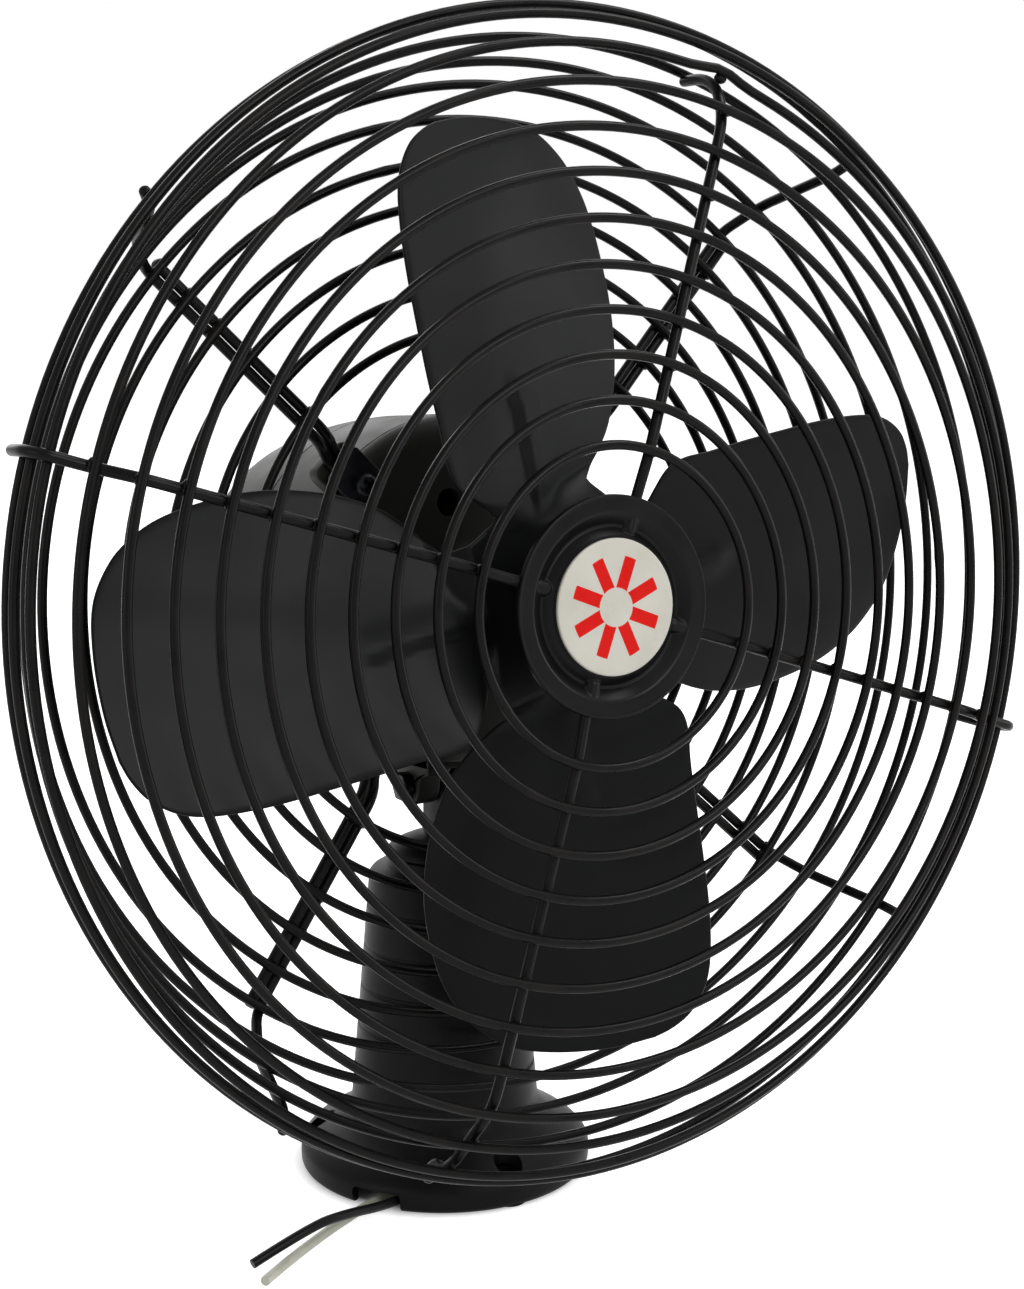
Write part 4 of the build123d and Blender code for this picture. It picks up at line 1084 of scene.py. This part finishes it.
def fork_cheek():
    """Cheek outline: a half circle round the pin, widening in two slopes to the pad, with
    its left side the mirror of its right."""
    arc = np.linspace(math.pi, FULL_TURN, 17)
    bottom = np.stack([CHEEK_RADIUS * np.cos(arc), PIN_UP + CHEEK_RADIUS * np.sin(arc)], -1)
    side = np.array(CHEEK_SIDE)
    return np.concatenate([bottom, side, side[::-1] * (-1, 1)]) + (PIN_AHEAD, 0)


def beside_place(x, y, z):
    """Place function for plates that stand along the head: x ahead, y up, z sideways."""
    return head_points(z, y, x)


fork = [
    slab(fork_cheek(), -CHEEK_OUTSIDE, -CHEEK_INSIDE, 0.7, beside_place),
    slab(fork_cheek(), CHEEK_INSIDE, CHEEK_OUTSIDE, 0.7, beside_place),
    slab(PAD_OUTLINE, -CHEEK_OUTSIDE, CHEEK_OUTSIDE, 0.7, beside_place),
]
make_piece("motor_fork", fork, CASTING, "motor_foot")


# Swivel neck with the tongue, the tilt bolt and its nut
NECK_BASE = 76.9
NECK_PROFILE = (
    (0.0, NECK_BASE), (13.1, NECK_BASE), (13.4, NECK_BASE + 0.3), (13.35, 77.7), (12.7, 78.5),
    (11.0, 79.5), (8.6, 80.6), (6.0, 81.5), (3.0, 81.8), (0.0, 81.8),
)
TONGUE_RADIUS = 4.5


def tongue_outline():
    """Tongue outline: a half circle over the pin and straight sides down into the dome."""
    arc = np.linspace(0, math.pi, 19)
    top = np.stack([TONGUE_RADIUS * np.cos(arc), TILT_HEIGHT + TONGUE_RADIUS * np.sin(arc)], -1)
    side = np.stack([np.full(7, -TONGUE_RADIUS), np.linspace(TILT_HEIGHT - 2, 80.4, 7)], -1)
    return np.concatenate([top, side, side[::-1] * (-1, 1)])


def tongue_place(x, y, z):
    """Place function for plates on the tilt bolt: x along Y, y up, z along X."""
    return np.stack([z, x, y], -1)


def plain_place(x, y, z):
    """Place function for upright tools: x and y on the floor, z up."""
    return np.stack([x, y, z], -1)


# Small slot in the dome's left flank, turned to run round the dome
SLOT_TURN = np.array(((0.27, -0.96), (0.96, 0.27)))
SLOT_OUTLINE = rounded_box(2.2, 1.2, 0.5) @ SLOT_TURN + (-9.7, -2.7)
SLOT_FLOOR = 78.6

dome_slot = [slab(SLOT_OUTLINE, SLOT_FLOOR, 83.0, 0.05, plain_place)]
dome_mesh = carve("neck_dome", turned(NECK_PROFILE, floor_points), ("DIFFERENCE", dome_slot))
make_piece("neck_dome", dome_mesh, NECK_NYLON, "swivel_neck")
make_piece("neck_tongue", [slab(tongue_outline(), -3.1, 3.1, 0.5, tongue_place)], NECK_NYLON)


def hexagon(radius):
    """Six-sided outline with three points at each corner, so that the corners are eased."""
    corner = np.repeat(np.arange(6) * math.pi / 3, 3) + np.tile((-0.09, 0.0, 0.09), 6)
    pull = np.tile((0.965, 0.985, 0.965), 6)
    return np.stack([radius * pull * np.cos(corner), radius * pull * np.sin(corner)], -1)


FORK_FACE = 9.35
BOLT_HEAD = 2.6
BOLT_LENGTH = 4.2
NUT_HEIGHT = 3.2
hex_outline = hexagon(3.6) + (0, TILT_HEIGHT)
shank_outline = floor_points(1.95, even_turn(40), 0.0)[:, :2] + (0, TILT_HEIGHT)
bolt = [
    slab(hex_outline, -FORK_FACE - BOLT_HEAD, -FORK_FACE, 0.35, tongue_place),
    slab(shank_outline, -FORK_FACE, FORK_FACE + BOLT_LENGTH, 0.3, tongue_place),
]
nut = slab(hex_outline, FORK_FACE, FORK_FACE + NUT_HEIGHT, 0.35, tongue_place)
make_piece("tilt_bolt_hex", bolt, NECK_STEEL, "tilt_bolt")
make_piece("tilt_nut_hex", [nut], NECK_STEEL, "tilt_nut")


# Foot and column
COLUMN_OUTSIDE = (
    (33.0, 0.0), (33.9, 0.3), (34.5, 1.0), (34.7, 2.0), (34.7, 4.3), (34.4, 5.4), (33.6, 6.5),
    (32.4, 7.7), (31.0, 8.8), (29.4, 9.8), (27.8, 10.8), (26.3, 11.8), (25.1, 12.8),
    (24.0, 13.9), (23.2, 14.9), (22.6, 16.0), (22.3, 17.2),
)
COLUMN_TAPER = ((22.3, 17.2), (17.7, 71.5))
COLUMN_TOP = (
    (17.55, 72.1), (17.0, 72.8), (16.2, 73.3), (14.6, 73.8), (13.7, 74.2), (13.4, 74.9),
    (13.4, 76.3), (13.15, 76.6), (3.1, 76.6),
)
COLUMN_INSIDE = (
    (3.1, 72.6), (15.1, 72.6), (19.7, 17.0), (22.5, 10.2), (31.9, 4.5), (31.9, 0.0),
)
GROOVE_HEIGHTS = (25.6, 35.35, 45.1, 54.85, 64.6)
GROOVE_DEPTH = 0.5
GROOVE_WIDTH = 1.1


def column_profile():
    """Closed profile: the foot's bell, the taper with a rounded groove at each height,
    the shoulder and collar, and the hollow inside."""
    height = np.linspace(COLUMN_TAPER[0][1], COLUMN_TAPER[1][1], 260)[1:]
    radius = np.interp(height, [p[1] for p in COLUMN_TAPER], [p[0] for p in COLUMN_TAPER])
    for groove in GROOVE_HEIGHTS:
        off = np.clip(np.abs(height - groove) / (GROOVE_WIDTH / 2), 0, 1)
        radius = radius - GROOVE_DEPTH * (1 - off**3)
    taper = np.stack([radius, height], -1)
    return np.concatenate([smooth_line(COLUMN_OUTSIDE, 2), taper, COLUMN_TOP, COLUMN_INSIDE])


SCREW_CIRCLE = 30.0
SCREW_ANGLES = (-91.0, 29.0, 149.0)
SCREW_BOSS = 4.2
SCREW_HOLE = 2.15
SCREW_RECESS = 3.4
NOTCH_ANGLE = math.radians(-148.0)
NOTCH_OUTLINE = rounded_box(12.6, 8.8, 1.2)
# Small round mark on the column's front: sideways, up, radius
DOT = (5.2, 37.1, 0.7)


def front_place(x, y, z):
    """Place function for tools that point forward: x sideways, y up, z toward -Y."""
    return np.stack([x, -z, y], -1)


def notch_place(x, y, z):
    """Place function for the lead notch: x along the rim, y up, z outward."""
    outward = np.array((math.cos(NOTCH_ANGLE), math.sin(NOTCH_ANGLE), 0.0))
    along = np.array((-outward[1], outward[0], 0.0))
    upright = np.array((0.0, 0.0, 1.0))
    return x[..., None] * along + y[..., None] * upright + z[..., None] * outward


screw_spots = floor_points(SCREW_CIRCLE, np.radians(SCREW_ANGLES), 0.0)[:, :2]
bosses = [round_tool(x, y, SCREW_BOSS, 0.0, 6.9, plain_place) for x, y in screw_spots]
holes = [round_tool(x, y, SCREW_HOLE, -1.0, 6.0, plain_place) for x, y in screw_spots]
recesses = [round_tool(x, y, SCREW_RECESS, 5.0, 14.0, plain_place) for x, y in screw_spots]
notch = [slab(NOTCH_OUTLINE, 29.0, 38.0, 0.05, notch_place)]
dot = [round_tool(*DOT, 16.0, 24.0, front_place, 20)]
column_mesh = carve(
    "column_moulding",
    turned(column_profile(), floor_points, 192, closed=True),
    ("UNION", bosses),
    ("DIFFERENCE", recesses),
    ("DIFFERENCE", holes),
    ("DIFFERENCE", notch),
    ("DIFFERENCE", dot),
)
make_piece("column_moulding", column_mesh, (moulded_nylon, "black_moulding", "base"), "base_column")


# CAD nodes that stay take a finish by name
KEPT_NODES = (
    (moulded_nylon, "lead_clip"),
    (zinc_plate, "swivel_stud", "swivel_washer", "swivel_nut", "foot_screws"),
    (zinc_plate, "armature_core", "shaft", "thrust_washer"),
    (ground_ferrite, "magnets"),
    (turned_copper, "armature_windings", "commutator"),
    (sintered_bronze, "front_bush", "rear_bush"),
    (resin_board, "brush_plate"),
    (pressed_carbon, "brushes"),
    (turned_brass, "brush_springs"),
)
for material, *nodes in KEPT_NODES:
    for node in nodes:
        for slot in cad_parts[node].material_slots:
            slot.material = material
